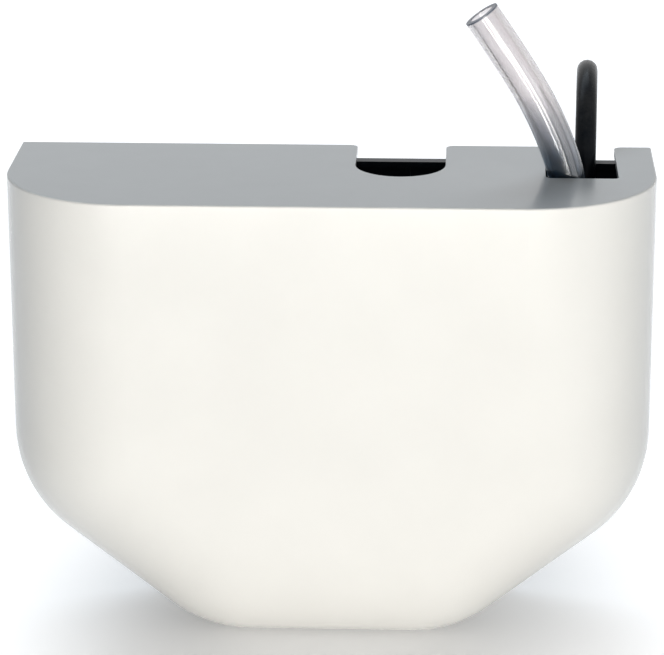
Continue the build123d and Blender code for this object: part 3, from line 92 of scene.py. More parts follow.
class Graph:
    """Adds nodes to one shader tree and links them."""

    def __init__(self, tree: Tree) -> None:
        """Keeps the tree that every later call adds to."""
        self.tree = tree

    def node(self, kind: str, inputs: dict | None = None, **settings: object) -> Node:
        """Adds one node.

        Args:
            kind: Node type without its ShaderNode prefix.
            inputs: Value or source socket for each input, by name or index.
            **settings: Properties of the node itself.

        Returns:
            The new node.
        """
        node = self.tree.nodes.new(f"ShaderNode{kind}")
        for name, value in settings.items():
            setattr(node, name, value)
        self.wire(node, inputs or {})
        return node

    def wire(self, node: Node, inputs: dict) -> None:
        """Feeds several inputs of a node, by name or index."""
        for name, value in inputs.items():
            self.feed(node.inputs[name], value)

    def feed(self, socket: Socket, value: object) -> None:
        """Links value to the socket if it is a socket too, or else stores it there."""
        if isinstance(value, Socket):
            self.tree.links.new(value, socket)
        else:
            socket.default_value = value

    def math(self, operation: str, first: object, second: object = 0.0, clamp: bool = False) -> Socket:
        """Output of a Math node.

        Args:
            operation: Blender's name of the operation.
            first: First number or socket.
            second: Second number or socket.
            clamp: Whether the result is held between 0 and 1.

        Returns:
            The socket with the result.
        """
        return self.node("Math", {0: first, 1: second}, operation=operation, use_clamp=clamp).outputs[0]

    def times(self, first: object, second: object) -> Socket:
        """Product of two numbers or sockets."""
        return self.math("MULTIPLY", first, second)

    def blend(self, share: object, under: object, over: object) -> Socket:
        """Colour that goes from under to over as share goes from 0 to 1."""
        node = self.node("Mix", {0: share}, data_type="RGBA")
        self.feed(node.inputs[6], opaque(under))
        self.feed(node.inputs[7], opaque(over))
        return node.outputs[2]

    def remap(
        self, value: object, low: float, high: float, to_low: float = 0.0, to_high: float = 1.0
    ) -> Socket:
        """Value moved from one range to another and clamped there.

        Args:
            value: Number or socket.
            low: Start of the range read.
            high: End of the range read.
            to_low: Result at low.
            to_high: Result at high.

        Returns:
            The socket with the result.
        """
        return self.node("MapRange", {0: value, 1: low, 2: high, 3: to_low, 4: to_high}).outputs[0]

    def vary(self, share: Socket, value: float, least: float, most: float) -> Socket:
        """Value times a factor that goes from least to most as share goes from 0 to 1."""
        return self.remap(share, 0.0, 1.0, value * least, value * most)

    def noise(self, where: Socket, scale: object, detail: float, roughness: float = 0.5) -> Socket:
        """Noise texture's value at where."""
        inputs = {"Vector": where, "Scale": scale, "Detail": detail, "Roughness": roughness}
        return self.node("TexNoise", inputs).outputs[0]

    def place(self, stretch: object = (1.0, 1.0, 1.0)) -> Socket:
        """The piece's own coordinates in metres, multiplied by stretch."""
        where = self.node("TexCoord").outputs["Object"]
        return self.node("VectorMath", {0: where, 1: stretch}, operation="MULTIPLY").outputs[0]


def opaque(colour: object) -> object:
    """A colour of three numbers with an alpha of 1, and anything else as it is."""
    if isinstance(colour, tuple) and len(colour) == 3:
        return (*colour, 1.0)
    return colour


class Effect(Enum):
    """Names of the shared surface effects."""

    GRAIN = "moulding_grain"
    WEAR = "edge_wear"
    DUST = "settled_dust"
    BRUSHING = "brushed_lines"
    LAYERS = "stacked_sheets"
    CELLS = "foam_cells"


class Effects:
    """Builds each shared effect once, as a node group."""

    def __init__(self) -> None:
        """Starts with no groups built."""
        self.built: dict[Effect, Tree] = {}

    def use(self, graph: Graph, effect: Effect, **values: object) -> dict[str, Socket]:
        """Places an effect in a material.

        Args:
            graph: The material's graph.
            effect: Which effect.
            **values: Numbers or sockets for the group's inputs.

        Returns:
            The group's outputs, by name.
        """
        if effect not in self.built:
            self.built[effect] = getattr(self, f"make_{effect.value}")(effect.value)
        node = graph.tree.nodes.new("ShaderNodeGroup")
        node.node_tree = self.built[effect]
        graph.wire(node, values)
        return {socket.name: socket for socket in node.outputs}

    def start(self, name: str, inputs: dict[str, float], outputs: list[str]) -> tuple[Graph, dict, Node]:
        """Makes an empty group.

        Args:
            name: The group's name.
            inputs: Default of each number that the group takes.
            outputs: Names of the numbers that the group gives.

        Returns:
            The group's graph, its input sockets by name, and its output node.
        """
        tree = bpy.data.node_groups.new(name, "ShaderNodeTree")
        for label, value in inputs.items():
            socket = tree.interface.new_socket(label, in_out="INPUT", socket_type="NodeSocketFloat")
            socket.default_value = value
        for label in outputs:
            tree.interface.new_socket(label, in_out="OUTPUT", socket_type="NodeSocketFloat")
        source = tree.nodes.new("NodeGroupInput")
        target = tree.nodes.new("NodeGroupOutput")
        return Graph(tree), {label: source.outputs[label] for label in inputs}, target

    def make_moulding_grain(self, name: str) -> Tree:
        """Fine spark-eroded texture and slow drifts of tone, as on injection mouldings."""
        graph, given, out = self.start(name, {"Size": 0.0005, "Patch": 0.03}, ["Height", "Drift", "Fine"])
        where = graph.place()
        pits = graph.noise(where, graph.math("DIVIDE", 1.0, given["Size"]), 2.0, 0.6)
        drift = graph.noise(where, graph.math("DIVIDE", 1.0, given["Patch"]), 3.0, 0.55)
        fine = graph.remap(pits, 0.35, 0.65)
        graph.wire(out, {"Height": pits, "Drift": graph.remap(drift, 0.3, 0.7), "Fine": fine})
        return graph.tree

    def make_edge_wear(self, name: str) -> Tree:
        """Broken mask along convex and concave edges."""
        graph, given, out = self.start(name, {"Radius": 0.0006, "Patch": 0.004}, ["Mask"])
        rounded = graph.node("Bevel", {"Radius": given["Radius"]}, samples=4).outputs[0]
        true = graph.node("NewGeometry").outputs["Normal"]
        turn = graph.node("VectorMath", {0: rounded, 1: true}, operation="DOT_PRODUCT").outputs["Value"]
        edge = graph.remap(turn, 0.995, 0.88)
        patches = graph.noise(graph.place(), graph.math("DIVIDE", 1.0, given["Patch"]), 4.0)
        graph.wire(out, {"Mask": graph.times(edge, graph.remap(patches, 0.38, 0.62))})
        return graph.tree

    def make_settled_dust(self, name: str) -> Tree:
        """Mask of dust that lies on faces which look up."""
        graph, given, out = self.start(name, {"Patch": 0.012, "Reach": 0.6}, ["Mask"])
        normal = graph.node("NewGeometry").outputs["Normal"]
        upward = graph.node("SeparateXYZ", {0: normal}).outputs["Z"]
        shelf = graph.node("MapRange", {0: upward, 1: given["Reach"], 2: 1.0}).outputs[0]
        scale = graph.math("DIVIDE", 1.0, given["Patch"])
        where = graph.place()
        cloud = graph.remap(graph.noise(where, scale, 5.0, 0.7), 0.35, 0.75)
        cells = graph.node("TexVoronoi", {"Vector": where, "Scale": graph.times(scale, 9.0)})
        specks = graph.remap(cells.outputs[0], 0.22, 0.05)
        graph.wire(out, {"Mask": graph.times(shelf, graph.math("MAXIMUM", cloud, specks))})
        return graph.tree

    def make_brushed_lines(self, name: str) -> Tree:
        """Fine lines that run along X, Y or Z, as stretched by the material."""
        graph, given, out = self.start(name, {"X": 200.0, "Y": 200.0, "Z": 6000.0}, ["Height", "Streak"])
        stretch = graph.node("CombineXYZ", {0: given["X"], 1: given["Y"], 2: given["Z"]}).outputs[0]
        lines = graph.noise(graph.place(stretch), 1.0, 3.0, 0.7)
        graph.wire(out, {"Height": lines, "Streak": graph.remap(lines, 0.3, 0.7)})
        return graph.tree

    def make_stacked_sheets(self, name: str) -> Tree:
        """Edges of thin sheets stacked along Z, each of a slightly different tone."""
        graph, given, out = self.start(name, {"Sheet": 0.0006}, ["Height", "Gap", "Tone"])
        where = graph.node("TexCoord").outputs["Object"]
        level = graph.node("SeparateXYZ", {0: where}).outputs["Z"]
        count = graph.math("DIVIDE", level, given["Sheet"])
        share = graph.math("FRACT", count)
        away = graph.math("ABSOLUTE", graph.math("SUBTRACT", share, 0.5))
        gap = graph.remap(away, 0.36, 0.5)
        sheet = graph.math("FLOOR", count)
        tone = graph.node("TexWhiteNoise", {"W": sheet}, noise_dimensions="1D").outputs[0]
        graph.wire(out, {"Height": graph.math("SUBTRACT", 1.0, gap), "Gap": gap, "Tone": tone})
        return graph.tree

    def make_foam_cells(self, name: str) -> Tree:
        """Closed cells cut open at the surface."""
        graph, given, out = self.start(name, {"Cell": 0.0007}, ["Height", "Pore"])
        scale = graph.math("DIVIDE", 1.0, given["Cell"])
        cells = graph.node("TexVoronoi", {"Vector": graph.place(), "Scale": scale}).outputs[0]
        graph.wire(out, {"Height": graph.remap(cells, 0.0, 0.55), "Pore": graph.remap(cells, 0.35, 0.1)})
        return graph.tree


EFFECTS = Effects()


def start_material(name: str) -> tuple[Material, Graph, Node]:
    """Makes a material with only a Principled shader and its output.

    Args:
        name: The material's name.

    Returns:
        The material, its graph and its Principled shader.
    """
    material = bpy.data.materials.new(name)
    material.use_nodes = True
    material.node_tree.nodes.clear()
    graph = Graph(material.node_tree)
    shader = graph.node("BsdfPrincipled")
    output = graph.node("OutputMaterial")
    graph.feed(output.inputs["Surface"], shader.outputs[0])
    return material, graph, shader


def bump(graph: Graph, shader: Node, height: object, depth: float, strength: float = 1.0) -> None:
    """Feeds a height map to the shader's normal.

    Args:
        graph: The material's graph.
        shader: Its Principled shader.
        height: Socket with the height, from 0 to 1.
        depth: Height in metres that 1 stands for.
        strength: How much of the bump shows.
    """
    node = graph.node("Bump", {"Height": height, "Distance": depth, "Strength": strength})
    graph.feed(shader.inputs["Normal"], node.outputs[0])


# ------------------------------------------------------------------- finishes


@dataclass(frozen=True)
class Finish:
    """A surface that can make its own material."""

    name: str

    def material(self) -> Material:
        """Makes the material and lets the finish paint it.

        Returns:
            The new material.
        """
        material, graph, shader = start_material(self.name)
        self.paint(graph, shader)
        return material

    def paint(self, graph: Graph, shader: Node) -> None:
        """Feeds the Principled shader.

        Args:
            graph: The material's graph.
            shader: Its Principled shader.
        """
        raise NotImplementedError


@dataclass(frozen=True)
class Moulding(Finish):
    """Injection-moulded plastic with grain, drifts of tone, worn edges and a little dust."""

    colour: Colour
    worn_colour: Colour
    roughness: float
    grain: float = 0.0006
    depth: float = 0.00003
    drift: float = 0.15
    wear: float = 0.25
    dust: float = 0.05
    dust_colour: Colour = (0.42, 0.40, 0.36)
    gloss: float = 0.5

    def paint(self, graph: Graph, shader: Node) -> None:
        """Lays worn edges and dust over a drifting tone."""
        grain = EFFECTS.use(graph, Effect.GRAIN, Size=self.grain)
        wear = EFFECTS.use(graph, Effect.WEAR)
        dust = EFFECTS.use(graph, Effect.DUST)
        darker = tuple(channel * (1 - self.drift) for channel in self.colour)
        lighter = tuple(min(channel * (1 + self.drift), 1.0) for channel in self.colour)
        colour = graph.blend(grain["Drift"], darker, lighter)
        worn = graph.times(wear["Mask"], self.wear)
        colour = graph.blend(worn, colour, self.worn_colour)
        dusty = graph.times(dust["Mask"], self.dust)
        colour = graph.blend(dusty, colour, self.dust_colour)
        drifting = graph.vary(grain["Drift"], self.roughness, 0.88, 1.12)
        rough = graph.math("ADD", drifting, graph.times(dusty, 0.5), clamp=True)
        graph.wire(shader, {"Base Color": colour, "Roughness": rough, "Specular IOR Level": self.gloss})
        bump(graph, shader, grain["Height"], self.depth)


@dataclass(frozen=True)
class Elastomer(Finish):
    """Rubber or soft vinyl, with a faint bloom and a little dust."""

    colour: Colour
    bloom_colour: Colour
    roughness: float
    bloom: float
    grain: float = 0.0007
    depth: float = 0.00003
    gloss: float = 0.5
    dust: float = 0.1
    dust_colour: Colour = (0.4, 0.38, 0.35)

    def paint(self, graph: Graph, shader: Node) -> None:
        """Clouds the surface with bloom and a little dust."""
        grain = EFFECTS.use(graph, Effect.GRAIN, Size=self.grain, Patch=0.018)
        dust = EFFECTS.use(graph, Effect.DUST, Patch=0.008, Reach=0.1)
        cloud = graph.times(grain["Drift"], self.bloom)
        colour = graph.blend(cloud, self.colour, self.bloom_colour)
        dusty = graph.times(dust["Mask"], self.dust)
        colour = graph.blend(dusty, colour, self.dust_colour)
        rough = graph.vary(grain["Drift"], self.roughness, 0.85, 1.15)
        graph.wire(shader, {"Base Color": colour, "Roughness": rough, "Specular IOR Level": self.gloss})
        bump(graph, shader, grain["Height"], self.depth)


@dataclass(frozen=True)
class Metal(Finish):
    """Bare or plated metal with drawn lines and dull stains."""

    colour: Colour
    stain_colour: Colour
    roughness: float = 0.25
    stain: float = 0.35
    lines: Point = (300.0, 300.0, 5000.0)
    depth: float = 0.000008
    dulling: float = 0.3
    streak: float = 0.12

    def paint(self, graph: Graph, shader: Node) -> None:
        """Draws fine lines and dulls the stains."""
        grain = EFFECTS.use(graph, Effect.GRAIN, Size=0.0004, Patch=0.006)
        brushed = EFFECTS.use(graph, Effect.BRUSHING, **dict(zip("XYZ", self.lines)))
        stained = graph.times(grain["Drift"], self.stain)
        colour = graph.blend(stained, self.colour, self.stain_colour)
        streak = graph.times(brushed["Streak"], self.streak)
        dull = graph.remap(stained, 0.0, 1.0, self.roughness, self.roughness + self.dulling)
        rough = graph.math("ADD", dull, streak)
        graph.wire(shader, {"Base Color": colour, "Metallic": 1.0, "Roughness": rough})
        bump(graph, shader, brushed["Height"], self.depth)


@dataclass(frozen=True)
class Laminations(Finish):
    """Edges of punched electrical sheets, with a thin varnish and traces of rust."""

    colour: Colour = (0.20, 0.205, 0.215)
    other: Colour = (0.33, 0.335, 0.345)
    gap_colour: Colour = (0.035, 0.033, 0.032)
    rust_colour: Colour = (0.24, 0.10, 0.045)
    rust: float = 0.45
    sheet: float = 0.0006
    depth: float = 0.0001

    def paint(self, graph: Graph, shader: Node) -> None:
        """Shows the sheets on upright faces and the rust everywhere."""
        layers = EFFECTS.use(graph, Effect.LAYERS, Sheet=self.sheet)
        grain = EFFECTS.use(graph, Effect.GRAIN, Size=0.0009, Patch=0.009)
        normal = graph.node("NewGeometry").outputs["Normal"]
        upright = graph.math("ABSOLUTE", graph.node("SeparateXYZ", {0: normal}).outputs["Z"])
        edge_on = graph.remap(upright, 0.6, 0.3)
        sheets = graph.blend(layers["Tone"], self.colour, self.other)
        gap = graph.times(layers["Gap"], edge_on)
        colour = graph.blend(gap, sheets, self.gap_colour)
        rust = graph.times(graph.remap(grain["Drift"], 0.55, 1.0), self.rust)
        colour = graph.blend(rust, colour, self.rust_colour)
        metallic = graph.remap(rust, 0.0, self.rust, 0.85, 0.1)
        rough = graph.remap(rust, 0.0, self.rust, 0.42, 0.8)
        graph.wire(shader, {"Base Color": colour, "Metallic": metallic, "Roughness": rough})
        bump(graph, shader, graph.times(layers["Height"], edge_on), self.depth)


@dataclass(frozen=True)
class Enamel(Finish):
    """Enamelled winding wire under varnish."""

    colour: Colour = (0.50, 0.185, 0.055)
    dark_colour: Colour = (0.36, 0.115, 0.035)
    roughness: float = 0.28
    depth: float = 0.00003

    def paint(self, graph: Graph, shader: Node) -> None:
        """Varies the varnish over coppery wire."""
        grain = EFFECTS.use(graph, Effect.GRAIN, Size=0.0012, Patch=0.007)
        colour = graph.blend(grain["Drift"], self.dark_colour, self.colour)
        rough = graph.vary(grain["Fine"], self.roughness, 0.8, 1.3)
        graph.wire(shader, {"Base Color": colour, "Metallic": 0.75, "Roughness": rough})
        graph.wire(shader, {"Coat Weight": 0.7, "Coat Roughness": 0.12})
        bump(graph, shader, grain["Height"], self.depth)


@dataclass(frozen=True)
class Foam(Finish):
    """Closed-cell float foam."""

    colour: Colour
    pore_colour: Colour
    cell: float = 0.0007
    depth: float = 0.00025

    def paint(self, graph: Graph, shader: Node) -> None:
        """Opens pores in a soft drift of tone."""
        cells = EFFECTS.use(graph, Effect.CELLS, Cell=self.cell)
        grain = EFFECTS.use(graph, Effect.GRAIN, Size=0.003, Patch=0.01)
        shade = graph.blend(grain["Drift"], self.colour, tuple(0.8 * c for c in self.colour))
        colour = graph.blend(cells["Pore"], shade, self.pore_colour)
        rough = graph.remap(cells["Pore"], 0.0, 1.0, 0.72, 0.95)
        graph.wire(shader, {"Base Color": colour, "Roughness": rough})
        bump(graph, shader, cells["Height"], self.depth)


@dataclass(frozen=True)
class ClearVinyl(Finish):
    """Clear flexible tubing, faintly lilac, with painted shade that deepens its tone to blue-grey towards the
    barb.
    """

    colour: Colour = (0.86, 0.83, 0.84)
    # Painted shade: the dark blue-grey that the hose takes on low down, and the heights where it starts and
    # where it is full.
    painted_shade_colour: Colour = (0.045, 0.090, 0.145)
    painted_shade_starts: float = 0.186
    painted_shade_full_below: float = 0.160
    roughness: float = 0.12
    clear: float = 0.80
    depth: float = 0.00004

    def paint(self, graph: Graph, shader: Node) -> None:
        """Deepens the tone low down with painted shade, and lets light through."""
        grain = EFFECTS.use(graph, Effect.GRAIN, Size=0.004, Patch=0.014)
        where = graph.node("TexCoord").outputs["Object"]
        level = graph.node("SeparateXYZ", {0: where}).outputs["Z"]
        # Painted shade: the hose darkens to blue-grey below a given height, for the dark notch and cable seen
        # through it.
        uneven = graph.math("ADD", level, graph.remap(grain["Drift"], 0.0, 1.0, -0.003, 0.003))
        painted_shade = graph.remap(uneven, self.painted_shade_starts, self.painted_shade_full_below)
        colour = graph.blend(painted_shade, self.colour, self.painted_shade_colour)
        rough = graph.vary(grain["Drift"], self.roughness, 0.8, 1.25)
        graph.wire(shader, {"Base Color": colour, "Roughness": rough, "IOR": 1.47})
        graph.wire(shader, {"Transmission Weight": self.clear, "Coat Weight": 0.25, "Coat Roughness": 0.03})
        bump(graph, shader, grain["Height"], self.depth, 0.5)


@dataclass(frozen=True)
class BoardLaminate(Finish):
    """Green-masked board with paler tracks."""

    mask_colour: Colour = (0.012, 0.085, 0.030)
    track_colour: Colour = (0.025, 0.150, 0.050)
    pad_colour: Colour = (0.45, 0.46, 0.47)
    depth: float = 0.00003

    def paint(self, graph: Graph, shader: Node) -> None:
        """Draws tracks and pads over the mask."""
        inputs = {"Vector": graph.place((1.0, 0.0, 1.0)), "Scale": 260.0, "Randomness": 0.35}
        middle = graph.node("TexVoronoi", inputs, distance="CHEBYCHEV").outputs["Distance"]
        tracks = graph.remap(middle, 0.42, 0.46)
        pads = graph.remap(middle, 0.10, 0.07)
        colour = graph.blend(tracks, self.mask_colour, self.track_colour)
        colour = graph.blend(pads, colour, self.pad_colour)
        metallic = graph.times(pads, 0.8)
        graph.wire(shader, {"Base Color": colour, "Metallic": metallic, "Roughness": 0.3})
        bump(graph, shader, tracks, self.depth)


# --------------------------------------------------------------- mesh helpers


def finish_mesh(name: str, mesh: Mesh, material: Material, crease: float = 35.0) -> Piece:
    """Turns a bmesh into a smooth-shaded object.

    Args:
        name: The piece's name.
        mesh: Its geometry, which is freed.
        material: Its finish.
        crease: Angle in degrees above which an edge stays sharp.

    Returns:
        The new object, linked to the scene.
    """
    data = bpy.data.meshes.new(name)
    bmesh.ops.recalc_face_normals(mesh, faces=mesh.faces)
    mesh.to_mesh(data)
    mesh.free()
    data.polygons.foreach_set("use_smooth", [True] * len(data.polygons))
    data.set_sharp_from_angle(angle=radians(crease))
    data.materials.append(material)
    piece = bpy.data.objects.new(name, data)
    bpy.context.scene.collection.objects.link(piece)
    return piece


def add_rings(mesh: Mesh, rings: list[list[Vector]], ends: bool = True, around: bool = False) -> None:
    """Joins closed rings of equal count into a skin.

    Args:
        mesh: Where the skin goes.
        rings: Points of each ring, in order.
        ends: Whether the first and last ring are capped.
        around: Whether the last ring joins the first.
    """
    rows = [[mesh.verts.new(point) for point in ring] for ring in rings]
    count = len(rows[0])
    pairs = list(zip(rows, rows[1:]))
    if around:
        pairs.append((rows[-1], rows[0]))
    for low, high in pairs:
        for index in range(count):
            after = (index + 1) % count
            mesh.faces.new((low[index], low[after], high[after], high[index]))
    if ends and not around:
        mesh.faces.new(rows[0][::-1])
        mesh.faces.new(rows[-1])


def circle(radius: float, steps: int) -> Outline:
    """Round section, in the unit of its radius."""
    angles = [2 * pi * step / steps for step in range(steps)]
    return [(radius * cos(angle), radius * sin(angle)) for angle in angles]


def level_ring(place: Matrix, radius: float, height: float, steps: int) -> list[Vector]:
    """Ring across the Z axis of place, in its unit."""
    return [place @ Vector((x, y, height)) for x, y in circle(radius, steps)]


def oval(turn: float, half_wide: float, half_tall: float, power: float) -> tuple[float, float]:
    """A point on a squared oval.

    Args:
        turn: Angle of the point, in radians.
        half_wide: Half its width.
        half_tall: Half its height.
        power: 2 for an ellipse, and more for squarer corners.

    Returns:
        The point across and up from its middle.
    """
    across, up = cos(turn), sin(turn)
    reach = (abs(across / half_wide) ** power + abs(up / half_tall) ** power) ** (-1 / power)
    return reach * across, reach * up


def turned(mesh: Mesh, profile: Outline, place: Matrix, steps: int = 48) -> None:
    """Adds a solid of revolution.

    Args:
        mesh: Where it goes.
        profile: Radius and height pairs, bottom to top, in the unit of place.
        place: Moves the Z axis of the profile to its place in metres.
        steps: Sides of each ring.
    """
    add_rings(mesh, [level_ring(place, radius, height, steps) for radius, height in profile])


def facing(place: Vector, axis: Vector) -> Matrix:
    """Matrix that moves the origin to place and turns Z to axis."""
    return Matrix.Translation(place) @ UP.rotation_difference(axis).to_matrix().to_4x4()


def scaled(place: Point, axis: Vector = UP) -> Matrix:
    """Matrix from millimetres along Z to metres along axis, from a place in millimetres."""
    return facing(Vector(place) * MM, axis) @ Matrix.Scale(MM, 4)


def carried(
    line: list[Vector], section: Outline, around: bool = False, upward: Vector = UP
) -> list[list[Vector]]:
    """Rings of a closed section carried along a line without twisting it.

    Args:
        line: Points in metres.
        section: Closed outline across the line, in millimetres.
        around: Whether the line is a loop.
        upward: Direction that the section's second axis starts nearest to.

    Returns:
        A ring of points in metres at each point of the line.
    """
    count = len(line)
    rings = []
    side = None
    for index, point in enumerate(line):
        before = line[index - 1] if around or index else line[index]
        after = line[(index + 1) % count] if around or index < count - 1 else line[index]
        ahead = (after - before).normalized()
        if side is None:
            side = ahead.cross(upward).normalized()
        side = (side - ahead * side.dot(ahead)).normalized()
        up = side.cross(ahead)
        rings.append([point + (side * a + up * b) * MM for a, b in section])
    return rings


def swept(
    mesh: Mesh, line: list[Vector], section: Outline, around: bool = False, upward: Vector = UP
) -> None:
    """Adds the solid, or the closed ring, that a carried section leaves behind it."""
    add_rings(mesh, carried(line, section, around, upward), around=around)


def soft_block(mesh: Mesh, low: Point, high: Point, edge: float = 0.5) -> None:
    """Adds a block with rounded edges.

    Args:
        mesh: Where it goes.
        low: Lowest corner in millimetres.
        high: Highest corner in millimetres.
        edge: Radius of its edges in millimetres.
    """
    size = [(b - a) * MM for a, b in zip(low, high)]
    middle = [(a + b) / 2 * MM for a, b in zip(low, high)]
    place = Matrix.Translation(middle) @ Matrix.Diagonal((*size, 1.0))
    made = bmesh.ops.create_cube(mesh, size=1.0, matrix=place)
    edges = list({link for vert in made["verts"] for link in vert.link_edges})
    bmesh.ops.bevel(mesh, geom=edges, offset=edge * MM, segments=2, affect="EDGES", profile=0.5)


def box_mm(node: str) -> tuple[Vector, Vector]:
    """Lowest and highest corner of a CAD node, in millimetres."""
    low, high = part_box(node)
    return Vector(low) / MM, Vector(high) / MM


def nurbs_line(name: str, points: list[Vector]) -> Piece:
    """Open NURBS curve object that rounds the given control points.

    Args:
        name: The object's name.
        points: Control points in metres.

    Returns:
        The curve object, linked to the scene.
    """
    data = bpy.data.curves.new(name, "CURVE")
    data.dimensions = "3D"
    data.resolution_u = 8
    spline = data.splines.new("NURBS")
    spline.points.add(len(points) - 1)
    for control, point in zip(spline.points, points):
        control.co = (*point, 1.0)
    spline.order_u = 3
    spline.use_endpoint_u = True
    line = bpy.data.objects.new(name, data)
    bpy.context.scene.collection.objects.link(line)
    return line


def followed(line: Piece) -> list[Vector]:
    """Points along a curve object that has no bevel, which is removed afterwards.

    Args:
        line: The curve object.

    Returns:
        Its points in metres, in order.
    """
    bpy.context.view_layer.update()
    mesh = bpy.data.meshes.new_from_object(line)
    points = [vertex.co.copy() for vertex in mesh.vertices]
    bpy.data.meshes.remove(mesh)
    bpy.data.objects.remove(line)
    return points


def islands(node: str) -> list[list[Vector]]:
    """Corner points of each separate solid of a CAD node.

    Args:
        node: The node's name.

    Returns:
        One list of points, in metres, for each solid.
    """
    mesh = bmesh.new()
    mesh.from_mesh(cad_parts[node].data)
    bmesh.ops.remove_doubles(mesh, verts=mesh.verts, dist=1e-6)
    left = set(mesh.verts)
    found = []
    while left:
        reached = {left.pop()}
        edge = set(reached)
        while edge:
            near = {link.other_vert(vert) for vert in edge for link in vert.link_edges}
            edge = near & left
            left -= edge
            reached |= edge
        found.append([vert.co.copy() for vert in reached])
    mesh.free()
    return sorted(found, key=lambda points: tuple(round(value, 4) for value in min(tuple(p) for p in points)))


# ----------------------------------------------------------- finishes in use


CAST = (900.0, 900.0, 900.0)


class Shade(Enum):
    """Every finish on the pump, by the part that it is made for."""

    COVER = Moulding(
        "cover_plastic", (0.84, 0.828, 0.795), (0.9, 0.89, 0.87), 0.17,
        grain=0.0009, depth=0.000006, drift=0.012, wear=0.10, dust=0.04,
    )
    CHASSIS = Moulding("chassis_plastic", (0.014, 0.018, 0.023), (0.10, 0.11, 0.12), 0.34, gloss=0.14)
    TANK = Moulding(
        "tank_plastic", (0.56, 0.58, 0.575), (0.66, 0.67, 0.66), 0.42,
        grain=0.0008, drift=0.06, dust=0.08, dust_colour=(0.36, 0.33, 0.28),
    )
    LID = Moulding("lid_plastic", (0.034, 0.035, 0.038), (0.13, 0.13, 0.13), 0.42, dust=0.12)
    PUMP = Moulding("pump_plastic", (0.024, 0.024, 0.026), (0.13, 0.13, 0.13), 0.36, grain=0.0005, dust=0.06)
    IMPELLER = Moulding(
        "impeller_plastic", (0.70, 0.56, 0.29), (0.80, 0.70, 0.46), 0.30,
        depth=0.00002, drift=0.05, wear=0.2, dust=0.03,
    )
    STEM = Moulding(
        "stem_plastic", (0.72, 0.70, 0.64), (0.8, 0.79, 0.74), 0.36,
        depth=0.00002, drift=0.05, wear=0.2, dust=0.04,
    )
    FAN = Moulding("fan_plastic", (0.030, 0.030, 0.032), (0.14, 0.14, 0.14), 0.40, wear=0.3, dust=0.25)
    CASE = Moulding("case_plastic", (0.44, 0.45, 0.46), (0.56, 0.56, 0.56), 0.42, drift=0.06, dust=0.10)
    RELAY = Moulding(
        "relay_plastic", (0.016, 0.050, 0.150), (0.10, 0.14, 0.24), 0.32,
        grain=0.0008, depth=0.00002, drift=0.1, wear=0.2,
    )
    TERMINAL = Moulding(
        "terminal_plastic", (0.055, 0.230, 0.090), (0.14, 0.32, 0.18), 0.40,
        grain=0.0008, depth=0.00002, drift=0.1, wear=0.2,
    )
    CHIP = Moulding(
        "component_epoxy", (0.018, 0.018, 0.020), (0.1, 0.1, 0.1), 0.45,
        grain=0.0003, depth=0.00002, drift=0.1, wear=0.3,
    )
    CERAMIC = Moulding(
        "component_ceramic", (0.60, 0.56, 0.46), (0.7, 0.66, 0.56), 0.45,
        grain=0.0004, depth=0.00002, drift=0.08, wear=0.1,
    )
    PLUG = Moulding(
        "plug_plastic", (0.019, 0.021, 0.023), (0.12, 0.12, 0.12), 0.40,
        grain=0.0007, depth=0.00005, drift=0.12,
    )
    JACKET = Elastomer(
        "cord_jacket", (0.003, 0.005, 0.008), (0.006, 0.009, 0.013), 0.26, 0.35,
        grain=0.0012, depth=0.00002, gloss=0.05,
    )
    RELIEF = Elastomer("black_rubber", (0.012, 0.013, 0.014), (0.030, 0.031, 0.032), 0.52, 0.4)
    GREY_RUBBER = Elastomer("grey_rubber", (0.085, 0.088, 0.092), (0.13, 0.132, 0.135), 0.58, 0.4)
    TIE = Elastomer("tie_wire", (0.014, 0.014, 0.015), (0.035, 0.035, 0.036), 0.42, 0.3, 0.0008, 0.00002)
    STEEL = Metal("bright_steel", (0.62, 0.63, 0.64), (0.36, 0.35, 0.33), 0.24)
    NICKEL = Metal("pin_nickel", (0.72, 0.70, 0.66), (0.48, 0.45, 0.40), 0.16, 0.25, (3000.0, 300.0, 300.0))
    ALLOY = Metal("bracket_alloy", (0.56, 0.57, 0.58), (0.34, 0.34, 0.34), 0.44, 0.4, CAST, 0.00003)
    BRONZE = Metal("bush_bronze", (0.44, 0.26, 0.11), (0.22, 0.12, 0.05), 0.38, 0.5, CAST, 0.00002)
    STACK = Laminations("lamination_steel")
    COPPER = Enamel("winding_copper")
    FLOAT = Foam("float_foam", (0.74, 0.72, 0.66), (0.50, 0.48, 0.43))
    VINYL = ClearVinyl("clear_hose")
    # Painted shade: the same clear vinyl in dark blue-grey, for the hose's cut end and the strip beside it.
    PAINTED_SHADE_VINYL = ClearVinyl(
        "clear_hose_cut_painted_shade", (0.10, 0.115, 0.15), (0.10, 0.115, 0.15), roughness=0.5, clear=0.1
    )
    BOARD = BoardLaminate("board_laminate")


@dataclass
class Paints:
    """Makes each finish's material when it is first asked for."""

    made: dict[Shade, Material] = field(default_factory=dict)

    def get(self, shade: Shade) -> Material:
        """The finish's one material."""
        if shade not in self.made:
            self.made[shade] = shade.value.material()
        return self.made[shade]


PAINTS = Paints()


